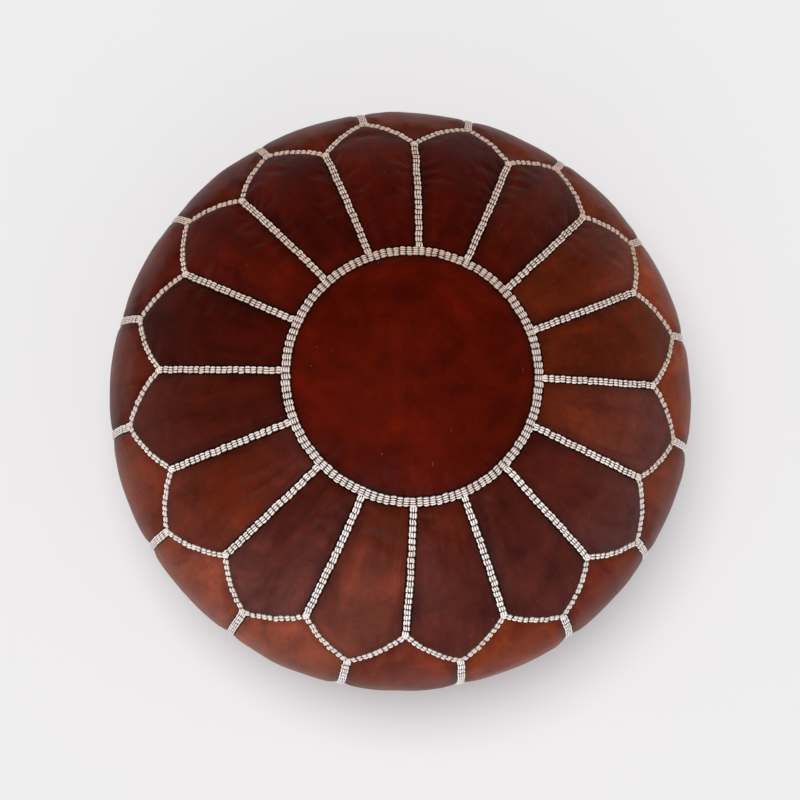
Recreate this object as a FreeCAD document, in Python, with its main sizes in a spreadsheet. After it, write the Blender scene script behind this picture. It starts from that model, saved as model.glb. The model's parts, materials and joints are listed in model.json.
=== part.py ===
"""A round stuffed leather pouf: a cover of sewn hide panels with a zip in its base, a bag and its stuffing.

Frame: millimetres, +Z up, origin on the floor under the middle of the pouf. The zip runs along X.
The cover is a surface of revolution. Every layer, from the stitching down to the stuffing, is the same
profile moved out or in, and the panels are cut from the hide layer by upright prisms.
"""

import FreeCAD
import Part
import math
import os

import Sketcher

PARTS_FOLDER = "parts"
XY_PLANE = "XY_Plane"
XZ_PLANE = "XZ_Plane"
YZ_PLANE = "YZ_Plane"
ORIGIN = FreeCAD.Vector(0, 0, 0)
UP = FreeCAD.Vector(0, 0, 1)

# name, value, what it is. Lengths are in millimetres and angles in degrees; a share has no unit.
SIZES = (
    ("cover_diameter", 530, "widest outside diameter of the hide cover"),
    ("cover_height", 300, "floor to the top of the crown"),
    ("bulge_share", 0.45, "level of the widest part, as a share of the height"),
    ("shoulder_radius", 100, "profile radius between the crown and the widest level"),
    ("flank_radius", 180, "profile radius from the widest level down"),
    ("foot_radius", 52, "profile radius where the side turns under"),
    ("rest_width", 18, "width of the flat band that rests on the floor"),
    ("ramp_width", 12, "width of the slope from that band up to the dished middle"),
    ("dish_depth", 14, "floor to the underside of the dished middle"),
    ("base_seam_reach", 23, "flat band's outer edge to the seam between base and sides"),
    ("hide", 1.8, "thickness of the hide"),
    ("seam_gap", 0.5, "gap between two panels at a seam"),
    ("petal_count", 16, "petals, and side panels, round the cover"),
    ("disc_share", 0.406, "seam round the centre disc, as a share of the cover's radius"),
    ("valley_share", 0.825, "scalloped seam where two petals meet, as a share of the cover's radius"),
    ("peak_share", 0.925, "scalloped seam at a petal's tip, as a share of the cover's radius"),
    ("scallop_share", 0.36, "plan radius of half a petal's tip, as a share of the cover's radius"),
    ("braid_height", 1.8, "how far the stitched braid stands off the hide"),
    ("braid_gap", 0.1, "gap between the braid, or a stitch, and the hide under it"),
    ("ring_braid_width", 9, "width of the braid round the centre disc"),
    ("petal_braid_width", 6.5, "width of the braid between two petals"),
    ("scallop_braid_width", 5.5, "width of the braid along the petals' tips"),
    ("side_braid_width", 6.5, "width of the braid between two side panels"),
    ("side_braid_foot", 6, "floor to the lower end of a side braid"),
    ("braid_end_gap", 0.6, "gap where one braid ends against another"),
    ("bag_gap", 0.4, "gap between the hide and the cotton bag"),
    ("bag_cloth", 0.8, "thickness of the bag's cotton cloth"),
    ("fill_gap", 0.3, "gap between the bag and the stuffing"),
    ("zip_room", 6, "extra room over the dished base for the back of the zip"),
    ("slot_share", 0.85, "length of the slot for the zip, as a share of the dished middle"),
    ("slot_width", 13, "width of the slot for the zip"),
    ("tape_overrun", 10, "how far the tapes run past each end of the slot"),
    ("tape_width", 15, "width of one tape"),
    ("tape_thickness", 0.6, "thickness of the tape"),
    ("tape_gap", 0.1, "gap between the tape and the hide, and in each clamp"),
    ("tape_split", 3.4, "distance between the two tapes' facing edges"),
    ("tooth_pitch", 2.5, "spacing of the teeth on one tape"),
    ("tooth_thickness", 1, "size of a tooth along the zip"),
    ("tooth_height", 2.6, "size of a tooth through the tape"),
    ("tooth_reach", 0.8, "how far a tooth reaches past the middle of the zip"),
    ("tooth_bite", 1.6, "how far a tooth laps over the edge of its tape"),
    ("stop_length", 2.6, "size of a stop along the zip"),
    ("stop_inset", 1.5, "end of the slot to the outer end of a stop"),
    ("stop_gap", 0.5, "gap between a stop and what comes up to it"),
    ("slider_length", 14, "length of the slider"),
    ("slider_nose_width", 11.4, "width of the slider at its divider end"),
    ("slider_tail_width", 9.6, "width of the slider at its closed end"),
    ("slider_plate", 1, "thickness of the slider's two plates"),
    ("slider_flange", 1, "thickness of the slider's side flanges"),
    ("slider_room", 0.3, "gap between the slider and the teeth, and each tape"),
    ("divider_length", 4.5, "length of the divider that parts the teeth"),
    ("divider_width", 2.2, "width of the divider"),
    ("divider_inset", 0.6, "nose of the slider to the divider"),
    ("bail_length", 9, "length of the bail over the slider"),
    ("bail_width", 2.6, "width of the bail"),
    ("bail_thickness", 0.9, "thickness of the bail"),
    ("pull_thickness", 1.4, "thickness of the pull, and diameter of its bar"),
    ("pull_length", 30, "pivot to the tip of the pull"),
    ("pull_eye_width", 3.4, "inside width of the pull's eye"),
    ("pull_arm", 1.3, "width of each arm beside the eye"),
    ("pull_tip_width", 8, "width of the pull at its tip"),
    ("pull_corner", 2, "cut across each corner of the pull's tip"),
    ("pull_hole_diameter", 3.2, "diameter of the hole near the pull's tip"),
    ("pull_hole_inset", 5, "tip of the pull to the middle of its hole"),
    ("pull_room", 0.3, "gap round the pull's bar in the bail, and past the bail in the eye"),
    ("pull_droop", 18, "angle between the base and the pull as it rests"),
    ("thread_diameter", 0.8, "diameter of the thread that sews the zip in"),
    ("stitch_length", 3.2, "length of one of those stitches"),
    ("stitch_pitch", 4.5, "spacing of those stitches"),
    ("stitch_inset", 3, "edge of the slot to the row of stitches"),
)

SHEET = "dims"
doc = FreeCAD.newDocument("leather_pouf")
sheet = doc.addObject("Spreadsheet::Sheet", SHEET)


def fill_sheet():
    """Writes the driving dimensions to the sheet, one row each, with an alias for each value."""
    for row_number, (name, value, meaning) in enumerate(SIZES, start=1):
        sheet.set(f"A{row_number}", name)
        sheet.set(f"B{row_number}", str(value))
        sheet.setAlias(f"B{row_number}", name)
        sheet.set(f"C{row_number}", meaning)
    doc.recompute()


def cell(name):
    """How an expression names one of the sheet's cells."""
    return f"{SHEET}.{name}"


def value_of(expression):
    """The value of an expression on the sheet's cells, as a plain number."""
    result = sheet.evalExpression(expression)
    return float(getattr(result, "Value", result))


def point(pair):
    """The point that a pair of expressions stands for."""
    return FreeCAD.Vector(value_of(pair[0]), value_of(pair[1]), 0)


# Expressions that several pieces share, so that what fits together is sized together.
PITCH = f"(360 / {cell('petal_count')})"
HALF_PITCH = f"(180 / {cell('petal_count')})"
HALF_SEAM = f"({cell('seam_gap')} / 2)"
COVER_RADIUS = f"({cell('cover_diameter')} / 2)"
BULGE = f"({cell('cover_height')} * {cell('bulge_share')})"
OVERHEAD = f"({cell('cover_height')} + 50)"
UNDERFOOT = "(-10)"
DISC_RADIUS = f"({COVER_RADIUS} * {cell('disc_share')})"
VALLEY_RADIUS = f"({COVER_RADIUS} * {cell('valley_share')})"
PEAK_RADIUS = f"({COVER_RADIUS} * {cell('peak_share')})"
SCALLOP_RADIUS = f"({COVER_RADIUS} * {cell('scallop_share')})"
FLANK_LESS_FOOT = f"({cell('flank_radius')} - {cell('foot_radius')})"
FLANK_CENTRE = f"({COVER_RADIUS} - {cell('flank_radius')})"
FOOT_CENTRE = f"({FLANK_CENTRE} + sqrt({FLANK_LESS_FOOT}^2 - ({BULGE} - {cell('foot_radius')})^2))"
REST_INNER = f"({FOOT_CENTRE} - {cell('rest_width')})"
DISH_RADIUS = f"({REST_INNER} - {cell('ramp_width')})"
BASE_RADIUS = f"({FOOT_CENTRE} + {cell('base_seam_reach')})"
BAG_DEPTH = f"({cell('hide')} + {cell('bag_gap')})"
SLOT_END = f"({DISH_RADIUS} * {cell('slot_share')})"
SLOT_SIDE = f"({cell('slot_width')} / 2)"
TAPE_BOTTOM = f"({cell('dish_depth')} + {cell('hide')} + {cell('tape_gap')})"
TAPE_MIDDLE = f"({TAPE_BOTTOM} + {cell('tape_thickness')} / 2)"
TAPE_EDGE = f"({cell('tape_split')} / 2)"
TOOTH_ROOT = f"({TAPE_EDGE} + {cell('tooth_bite')})"
TOOTH_HALF_HEIGHT = f"({cell('tooth_height')} / 2)"
CHANNEL_HALF_HEIGHT = f"({TOOTH_HALF_HEIGHT} + {cell('slider_room')})"
STOP_OUTER = f"({SLOT_END} - {cell('stop_inset')})"
STOP_INNER = f"({STOP_OUTER} - {cell('stop_length')})"
SLIDER_NOSE = f"({STOP_INNER} - {cell('stop_gap')})"
SLIDER_TAIL = f"({SLIDER_NOSE} - {cell('slider_length')})"
DIVIDER_NOSE = f"({SLIDER_NOSE} - {cell('divider_inset')})"
DIVIDER_TAIL = f"({DIVIDER_NOSE} - {cell('divider_length')})"
PIVOT_X = f"(({SLIDER_TAIL} + {SLIDER_NOSE}) / 2)"
PLATE_FACE = f"({TAPE_MIDDLE} - {CHANNEL_HALF_HEIGHT} - {cell('slider_plate')})"
PULL_HALF = f"({cell('pull_thickness')} / 2)"
PIVOT_Z = f"({PLATE_FACE} - {cell('pull_room')} - {PULL_HALF})"
BAIL_INSIDE = f"({PIVOT_Z} - {PULL_HALF} - {cell('pull_room')})"


class Outline:
    """A sketch whose points and radii are bound to expressions on the sheet."""

    def __init__(self, body, name, plane, height=None):
        self.sketch = body.newObject("Sketcher::SketchObject", name)
        support = next(f for f in body.Origin.OriginFeatures if f.Role == plane)
        self.sketch.AttachmentSupport = [(support, "")]
        self.sketch.MapMode = "FlatFace"
        if height is not None:
            self.sketch.setExpression("AttachmentOffset.Base.z", height)

    def bind(self, kind, *where, to):
        """Adds a dimension between the elements in where and binds it to an expression."""
        index = self.sketch.addConstraint(Sketcher.Constraint(kind, *where, value_of(to)))
        self.sketch.setExpression(f"Constraints[{index}]", to)

    def relate(self, kind, *where):
        """Adds a constraint with no dimension."""
        self.sketch.addConstraint(Sketcher.Constraint(kind, *where))

    def pin(self, geometry, end, x, y):
        """Holds an end of a piece of geometry at the expressions x and y."""
        self.bind("DistanceX", -1, 1, geometry, end, to=x)
        self.bind("DistanceY", -1, 1, geometry, end, to=y)

    def line(self, start, end):
        """A straight line between two pairs of expressions, not yet held by them."""
        return self.sketch.addGeometry(Part.LineSegment(point(start), point(end)), False)

    def arc(self, centre, radius, start, end):
        """An arc of a circle that runs anticlockwise between two angles in radians."""
        whole = Part.Circle(centre, UP, radius)
        return self.sketch.addGeometry(Part.ArcOfCircle(whole, start, end), False)

    def polygon(self, corners):
        """A closed outline of straight lines through corners, each a pair of expressions."""
        sides = [self.line(a, b) for a, b in zip(corners, corners[1:] + corners[:1])]
        for side, after, corner in zip(sides, sides[1:] + sides[:1], corners):
            self.relate("Coincident", side, 2, after, 1)
            self.pin(side, 1, *corner)

    def circle(self, x, y, radius):
        """A full circle with its centre at the expressions x and y."""
        whole = Part.Circle(point((x, y)), UP, value_of(radius))
        circle = self.sketch.addGeometry(whole, False)
        self.pin(circle, 3, x, y)
        self.bind("Radius", circle, to=radius)


class PetalOutline(Outline):
    """The outline of a petal, centred on +X, whose outer end is two arcs that meet in a blunt point."""

    def tip_arcs(self, right, tip, left):
        """Two arcs that bulge outwards from the right flank to the tip and on to the left flank."""
        arcs = []
        size = value_of(SCALLOP_RADIUS)
        for start, end in ((point(right), point(tip)), (point(tip), point(left))):
            chord = end - start
            inward = FreeCAD.Vector(-chord.y, chord.x, 0).normalize()
            centre = (start + end) / 2 + inward * math.sqrt(size**2 - (chord.Length / 2) ** 2)
            first, last = start - centre, end - centre
            arcs.append(self.arc(centre, size, math.atan2(first.y, first.x), math.atan2(last.y, last.x)))
        for arc in arcs:
            self.bind("Radius", arc, to=SCALLOP_RADIUS)
        self.relate("Coincident", arcs[0], 2, arcs[1], 1)
        self.pin(arcs[0], 1, *right)
        self.pin(arcs[0], 2, *tip)
        self.pin(arcs[1], 2, *left)
        return arcs

    def whole_petal(self, near_radius, side_radius, tip_radius, aside):
        """A petal from an arc of near_radius out to its tip, with its flanks moved in by aside."""
        reach = f"sqrt(({near_radius})^2 - ({aside})^2)"
        near_right, near_left = flanks(reach, aside)
        far_right, far_left = flanks(side_radius, aside)
        right_arc, left_arc = self.tip_arcs(far_right, (tip_radius, "0"), far_left)
        start, end = point(near_right), point(near_left)
        angles = math.atan2(start.y, start.x), math.atan2(end.y, end.x)
        near = self.arc(ORIGIN, value_of(near_radius), *angles)
        left = self.line(far_left, near_left)
        right = self.line(near_right, far_right)
        self.relate("Coincident", near, 3, -1, 1)
        self.relate("Coincident", left_arc, 2, left, 1)
        self.relate("Coincident", left, 2, near, 2)
        self.pin(near, 2, *near_left)
        self.relate("Coincident", near, 1, right, 1)
        self.bind("DistanceY", -1, 1, near, 1, to=near_right[1])
        self.relate("Coincident", right, 2, right_arc, 1)

    def tip_band(self, side_radius, tip_radius, width, aside):
        """A band along a petal's outer end, half its width on either side of the line."""
        outer_right, outer_left = flanks(f"({side_radius} + {width} / 2)", aside)
        inner_right, inner_left = flanks(f"({side_radius} - {width} / 2)", aside)
        outer = self.tip_arcs(outer_right, (f"{tip_radius} + {width} / 2", "0"), outer_left)
        inner = self.tip_arcs(inner_right, (f"{tip_radius} - {width} / 2", "0"), inner_left)
        left = self.line(outer_left, inner_left)
        right = self.line(inner_right, outer_right)
        self.relate("Coincident", outer[1], 2, left, 1)
        self.relate("Coincident", left, 2, inner[1], 2)
        self.relate("Coincident", inner[0], 1, right, 1)
        self.relate("Coincident", right, 2, outer[0], 1)


def polar(radius, angle, aside):
    """The point at a radius along a direction, moved aside to its left: a pair of expressions."""
    along = f"{radius} * cos({angle}) - ({aside}) * sin({angle})"
    across = f"{radius} * sin({angle}) + ({aside}) * cos({angle})"
    return along, across


def flanks(radius, aside):
    """The points at a radius on the right and left edges of a petal's sector, moved in by aside."""
    return polar(radius, f"(-{HALF_PITCH})", aside), polar(radius, HALF_PITCH, f"(-({aside}))")


def new_body(name):
    """An empty body."""
    return doc.addObject("PartDesign::Body", name)


def pad(body, outline, length, both_ways=False):
    """Pads an outline to a length, to one side or half to each side of its plane."""
    feature = body.newObject("PartDesign::Pad", f"{body.Name}_pad")
    feature.Profile = outline.sketch
    feature.setExpression("Length", length)
    if both_ways:
        feature.SideType = "Symmetric"
    doc.recompute()
    return feature


def pocket(body, outline, length):
    """Cuts an outline to a depth, and stops if it removes nothing."""
    before = body.Shape.Volume
    feature = body.newObject("PartDesign::Pocket", f"{body.Name}_pocket")
    feature.Profile = outline.sketch
    feature.setExpression("Length", length)
    doc.recompute()
    if body.Shape.Volume >= before:
        raise RuntimeError(f"a pocket in {body.Name} cuts nothing")
    return feature


def prism(name, corners, bottom, top, body=None):
    """Fills a polygon from one level to another, in a body of its own unless one is given."""
    body = body or new_body(name)
    outline = Outline(body, f"{name}_outline", XY_PLANE, height=bottom)
    outline.polygon(corners)
    pad(body, outline, f"{top} - {bottom}")
    return body


def corners_of(x, y):
    """The four corners of a rectangle between two x and two y expressions."""
    return [(x[0], y[0]), (x[1], y[0]), (x[1], y[1]), (x[0], y[1])]


def box(name, x, y, z, body=None):
    """A rectangular block between pairs of expressions, in a body of its own unless one is given."""
    return prism(name, corners_of(x, y), *z, body)


def carve(body, name, x, y, z):
    """Cuts a rectangular block out of a body."""
    outline = Outline(body, f"{name}_outline", XY_PLANE, height=z[1])
    outline.polygon(corners_of(x, y))
    return pocket(body, outline, f"{z[1]} - {z[0]}")


def drum(name, radius, z, hole=None):
    """A cylinder on the Z axis, or a ring if hole is given."""
    body = new_body(name)
    outline = Outline(body, f"{name}_outline", XY_PLANE, height=z[0])
    outline.circle("0", "0", radius)
    if hole:
        outline.circle("0", "0", hole)
    pad(body, outline, f"{z[1]} - {z[0]}")
    return body


def petal_prism(name, near_radius, aside, growth):
    """An upright prism over one petal, from the bulge level up, with its outer end moved out by growth."""
    body = new_body(name)
    outline = PetalOutline(body, f"{name}_outline", XY_PLANE, height=BULGE)
    outline.whole_petal(near_radius, f"({VALLEY_RADIUS} + {growth})", f"({PEAK_RADIUS} + {growth})", aside)
    pad(body, outline, f"{OVERHEAD} - {BULGE}")
    return body


def row(body, axis, pitch, count):
    """Repeats what a body holds so far along one of its first sketch's axes, as separate solids."""
    body.AllowCompound = True
    pattern = body.newObject("PartDesign::LinearPattern", f"{body.Name}_row")
    pattern.Originals = [f for f in body.Group if f.isDerivedFrom("PartDesign::FeatureAddSub")]
    sketch = next(f for f in body.Group if f.isDerivedFrom("Sketcher::SketchObject"))
    pattern.Direction = (sketch, [axis])
    pattern.Mode = "Spacing"
    pattern.setExpression("Offset", pitch)
    pattern.setExpression("Occurrences", count)
    body.Tip = pattern
    doc.recompute()
    return body


def combine(kind, name, base, tool):
    """A boolean of two objects; kind is Cut or Common."""
    result = doc.addObject(f"Part::{kind}", name)
    result.Base = base
    result.Tool = tool
    doc.recompute()
    if result.Shape.isNull() or not result.Shape.Solids:
        raise RuntimeError(f"{name} came out empty")
    return result


def group(name, members):
    """Several objects as one, each a solid of its own."""
    together = doc.addObject("Part::Compound", name)
    together.Links = members
    doc.recompute()
    return together


def turned(name, source, angle):
    """A copy of an object, turned about Z by the expression angle."""
    copy = doc.addObject("Part::Compound", name)
    copy.Links = [source]
    copy.setExpression("Placement.Rotation.Angle", angle)
    doc.recompute()
    return copy


def all_round(name, source, start):
    """One copy of an object for each petal, the first of them turned by start."""
    return [turned(f"{name}_{i + 1:02d}", source, f"{start} + {i} * {PITCH}") for i in range(petal_count())]


def petal_count():
    """How many petals go round the cover."""
    return round(value_of(cell("petal_count")))


def envelope(name, offset, dish_rise="0"):
    """The pouf's whole outer form, moved out by offset, as a solid of revolution.

    Its profile is four arcs, from the crown down to the foot, then the flat band, the slope and the dish.
    """
    body = new_body(name)
    outline = Outline(body, f"{name}_profile", XZ_PLANE)
    moved = value_of(offset)
    shoulder, flank = value_of(cell("shoulder_radius")), value_of(cell("flank_radius"))
    foot, height = value_of(cell("foot_radius")), value_of(cell("cover_height"))
    rise, reach = height - value_of(BULGE), value_of(COVER_RADIUS) - shoulder
    crown = (rise**2 + reach**2 - shoulder**2) / (2 * (rise - shoulder))
    crown_centre = FreeCAD.Vector(0, height - crown, 0)
    shoulder_centre = point((f"{COVER_RADIUS} - {cell('shoulder_radius')}", BULGE))
    flank_centre = point((FLANK_CENTRE, BULGE))
    foot_centre = point((FOOT_CENTRE, cell("foot_radius")))
    haunch = (shoulder_centre - crown_centre).getAngle(FreeCAD.Vector(1, 0, 0))
    heel = -(foot_centre - flank_centre).getAngle(FreeCAD.Vector(1, 0, 0))

    shift = f"({offset}) * tan(atan({cell('dish_depth')} / {cell('ramp_width')}) / 2)"
    floor_outer = (FOOT_CENTRE, f"-({offset})")
    rest_inner = (f"{REST_INNER} - {shift}", f"-({offset})")
    dish_edge = (f"{DISH_RADIUS} - {shift}", f"{cell('dish_depth')} + {dish_rise} - ({offset})")
    dish_middle = ("0", dish_edge[1])
    top_middle = ("0", f"{cell('cover_height')} + ({offset})")

    top = outline.arc(crown_centre, crown + moved, haunch, math.pi / 2)
    side = outline.arc(shoulder_centre, shoulder + moved, 0, haunch)
    lower = outline.arc(flank_centre, flank + moved, heel, 0)
    turn = outline.arc(foot_centre, foot + moved, -math.pi / 2, heel)
    rest = outline.line(floor_outer, rest_inner)
    ramp = outline.line(rest_inner, dish_edge)
    dish = outline.line(dish_edge, dish_middle)
    axis = outline.line(dish_middle, top_middle)

    outline.relate("PointOnObject", top, 3, -2)
    outline.pin(top, 2, *top_middle)
    outline.pin(side, 3, f"{COVER_RADIUS} - {cell('shoulder_radius')}", BULGE)
    outline.bind("Radius", side, to=f"{cell('shoulder_radius')} + ({offset})")
    outline.bind("DistanceY", -1, 1, side, 1, to=BULGE)
    outline.relate("Tangent", top, 1, side, 2)
    outline.pin(lower, 3, FLANK_CENTRE, BULGE)
    outline.relate("Coincident", side, 1, lower, 2)
    outline.bind("Radius", turn, to=f"{cell('foot_radius')} + ({offset})")
    outline.relate("Tangent", lower, 1, turn, 2)
    outline.relate("Tangent", turn, 1, rest, 1)
    outline.relate("Horizontal", rest)
    outline.pin(rest, 2, *rest_inner)
    outline.relate("Coincident", rest, 2, ramp, 1)
    outline.pin(ramp, 2, *dish_edge)
    outline.relate("Coincident", ramp, 2, dish, 1)
    outline.relate("Coincident", dish, 2, axis, 1)
    outline.pin(dish, 2, *dish_middle)
    outline.relate("Coincident", axis, 2, top, 2)

    revolution = body.newObject("PartDesign::Revolution", f"{name}_turn")
    revolution.Profile = outline.sketch
    revolution.ReferenceAxis = (outline.sketch, ["V_Axis"])
    revolution.Angle = 360
    doc.recompute()
    return body


def build_top(wall):
    """The centre disc and the petals round it."""
    disc_tool = drum("disc_tool", f"({DISC_RADIUS} - {HALF_SEAM})", (BULGE, OVERHEAD))
    petal_tool = petal_prism("petal_tool", f"({DISC_RADIUS} + {HALF_SEAM})", HALF_SEAM, f"(-{HALF_SEAM})")
    petal = combine("Common", "petal_piece", wall, petal_tool)
    pieces = {"centre_disc": combine("Common", "disc_piece", wall, disc_tool)}
    for number, copy in enumerate(all_round("petal_copy", petal, HALF_PITCH), start=1):
        pieces[f"petal_{number:02d}"] = copy
    return pieces


def build_sides(wall):
    """The side panels, each under the valley between two petals and down to the base seam."""
    near_right, near_left = flanks(f"({BASE_RADIUS} / 2)", HALF_SEAM)
    far_right, far_left = flanks(f"(({COVER_RADIUS} + 20) / cos({HALF_PITCH}))", HALF_SEAM)
    sector = prism("side_tool", [near_right, far_right, far_left, near_left], UNDERFOOT, OVERHEAD)
    side = combine("Common", "side_sector", wall, sector)
    petals = petal_prism("petals_tool", f"({BASE_RADIUS} / 4)", "(-0.05)", HALF_SEAM)
    for name, turn in (("right", f"(-{HALF_PITCH})"), ("left", HALF_PITCH)):
        side = combine("Cut", f"side_less_{name}", side, turned(f"petals_{name}", petals, turn))
    base_tool = drum("side_base_tool", f"({BASE_RADIUS} + {HALF_SEAM})", (UNDERFOOT, BULGE))
    side = combine("Cut", "side_piece", side, base_tool)
    copies = all_round("side_copy", side, "0")
    return {f"side_panel_{number:02d}": copy for number, copy in enumerate(copies, start=1)}


def build_base(wall):
    """The two halves of the base, with the slot for the zip between them."""
    base_edge = f"({BASE_RADIUS} - {HALF_SEAM})"
    base = combine("Common", "base_round", wall, drum("base_tool", base_edge, (UNDERFOOT, BULGE)))
    outside = f"({BASE_RADIUS} + 5)"
    half = [
        (f"(-{outside})", HALF_SEAM),
        (f"(-{SLOT_END})", HALF_SEAM),
        (f"(-{SLOT_END})", SLOT_SIDE),
        (SLOT_END, SLOT_SIDE),
        (SLOT_END, HALF_SEAM),
        (outside, HALF_SEAM),
        (outside, outside),
        (f"(-{outside})", outside),
    ]
    back = combine("Common", "base_back_piece", base, prism("half_tool", half, UNDERFOOT, BULGE))
    return {"base_panel_back": back, "base_panel_front": turned("base_front_piece", back, "180")}


def build_braids():
    """The bands of stitching that stand on the cover's seams."""
    outside = envelope("braid_outside", f"({cell('braid_gap')} + {cell('braid_height')})")
    wall = combine("Cut", "braid_wall", outside, envelope("braid_inside", cell("braid_gap")))
    upper = (BULGE, OVERHEAD)
    end_gap, band = cell("braid_end_gap"), cell("scallop_braid_width")

    ring_outer = f"({DISC_RADIUS} + {cell('ring_braid_width')} / 2)"
    ring_inner = f"({DISC_RADIUS} - {cell('ring_braid_width')} / 2)"
    ring = combine("Common", "ring_piece", wall, drum("ring_tool", ring_outer, upper, hole=ring_inner))

    spoke_half = f"({cell('petal_braid_width')} / 2)"
    spoke_x = (f"({ring_outer} + {end_gap})", f"({VALLEY_RADIUS} - {band} / 2 - {end_gap})")
    spoke_tool = box("spoke_tool", spoke_x, (f"(-{spoke_half})", spoke_half), upper)
    spoke = combine("Common", "spoke_piece", wall, spoke_tool)

    tip_tool = new_body("tip_tool")
    outline = PetalOutline(tip_tool, "tip_tool_outline", XY_PLANE, height=BULGE)
    outline.tip_band(VALLEY_RADIUS, PEAK_RADIUS, band, f"({end_gap} / 2)")
    pad(tip_tool, outline, f"{OVERHEAD} - {BULGE}")
    tip = combine("Common", "tip_piece", wall, tip_tool)

    bar_half = f"({cell('side_braid_width')} / 2)"
    bar_y = (f"(-{bar_half})", bar_half)
    beyond = f"({COVER_RADIUS} + 20)"
    bar_tool = box("bar_tool", (BASE_RADIUS, beyond), bar_y, (cell("side_braid_foot"), BULGE))
    bar_start = f"({PEAK_RADIUS} + {band} / 2 + {end_gap})"
    box("bar_top", (bar_start, beyond), bar_y, upper, bar_tool)
    bar = combine("Common", "bar_piece", wall, bar_tool)
    return {
        "centre_ring_braid": ring,
        "petal_seam_braids": group("spokes", all_round("spoke_copy", spoke, "0")),
        "scallop_braid": group("tips", all_round("tip_copy", tip, HALF_PITCH)),
        "side_seam_braids": group("bars", all_round("bar_copy", bar, HALF_PITCH)),
    }


def build_filling():
    """The cotton bag inside the cover, and the stuffing inside the bag."""
    room = cell("zip_room")
    bag_inner = f"({BAG_DEPTH} + {cell('bag_cloth')})"
    outside = envelope("bag_outside", f"-{BAG_DEPTH}", dish_rise=room)
    inside = envelope("bag_inside", f"-{bag_inner}", dish_rise=room)
    stuffing = envelope("stuffing_piece", f"-({bag_inner} + {cell('fill_gap')})", dish_rise=room)
    return {"inner_bag": combine("Cut", "bag_piece", outside, inside), "stuffing": stuffing}


def clamp(name, x, y, slots):
    """A metal clamp round the tape, with a slot for the tape across each pair of y expressions in slots."""
    height = (f"({TAPE_MIDDLE} - {TOOTH_HALF_HEIGHT})", f"({TAPE_MIDDLE} + {TOOTH_HALF_HEIGHT})")
    body = box(name, x, y, height)
    slot = f"({cell('tape_thickness')} / 2 + {cell('tape_gap')})"
    for number, across in enumerate(slots, start=1):
        z = (f"({TAPE_MIDDLE} - {slot})", f"({TAPE_MIDDLE} + {slot})")
        carve(body, f"{name}_slot_{number}", x, across, z)
    return body


def build_zip_ends():
    """The stops: one on each tape where the zip closes, and one across both tapes at its other end."""
    slot_start = f"({TAPE_EDGE} - {cell('tape_gap')})"
    back, front = (slot_start, TOOTH_ROOT), (f"(-{TOOTH_ROOT})", f"(-{slot_start})")
    stop_start = f"({TAPE_EDGE} / 2)"
    top_x, bottom_x = (STOP_INNER, STOP_OUTER), (f"(-{STOP_OUTER})", f"(-{STOP_INNER})")
    top_back = clamp("top_stop_back", top_x, (stop_start, TOOTH_ROOT), [back])
    top_front = clamp("top_stop_front", top_x, (f"(-{TOOTH_ROOT})", f"(-{stop_start})"), [front])
    bottom = clamp("bottom_stop", bottom_x, (f"(-{TOOTH_ROOT})", TOOTH_ROOT), [back, front])
    return {"zip_top_stops": group("top_stops", [top_back, top_front]), "zip_bottom_stop": bottom}


def build_teeth():
    """The two rows of teeth, a half pitch apart, each gripping the edge of its tape."""
    first = f"(-{SLIDER_NOSE})"
    last = f"({DIVIDER_TAIL} - {cell('slider_room')} - {cell('tooth_thickness')})"
    pitch, reach = cell("tooth_pitch"), cell("tooth_reach")
    count = f"floor(({last} - {first}) / {pitch})"
    slot_start, between = f"({TAPE_EDGE} - {cell('tape_gap')})", f"({first} + {pitch} / 2)"
    back_y, back_slot = (f"(-{reach})", TOOTH_ROOT), (slot_start, TOOTH_ROOT)
    front_y, front_slot = (f"(-{TOOTH_ROOT})", reach), (f"(-{TOOTH_ROOT})", f"(-{slot_start})")
    rows = {}
    for name, start, y, slot in (("back", first, back_y, back_slot), ("front", between, front_y, front_slot)):
        tooth = clamp(f"tooth_{name}", (start, f"({start} + {cell('tooth_thickness')})"), y, [slot])
        rows[f"zip_teeth_{name}"] = row(tooth, "H_Axis", pitch, count)
    return rows


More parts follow.
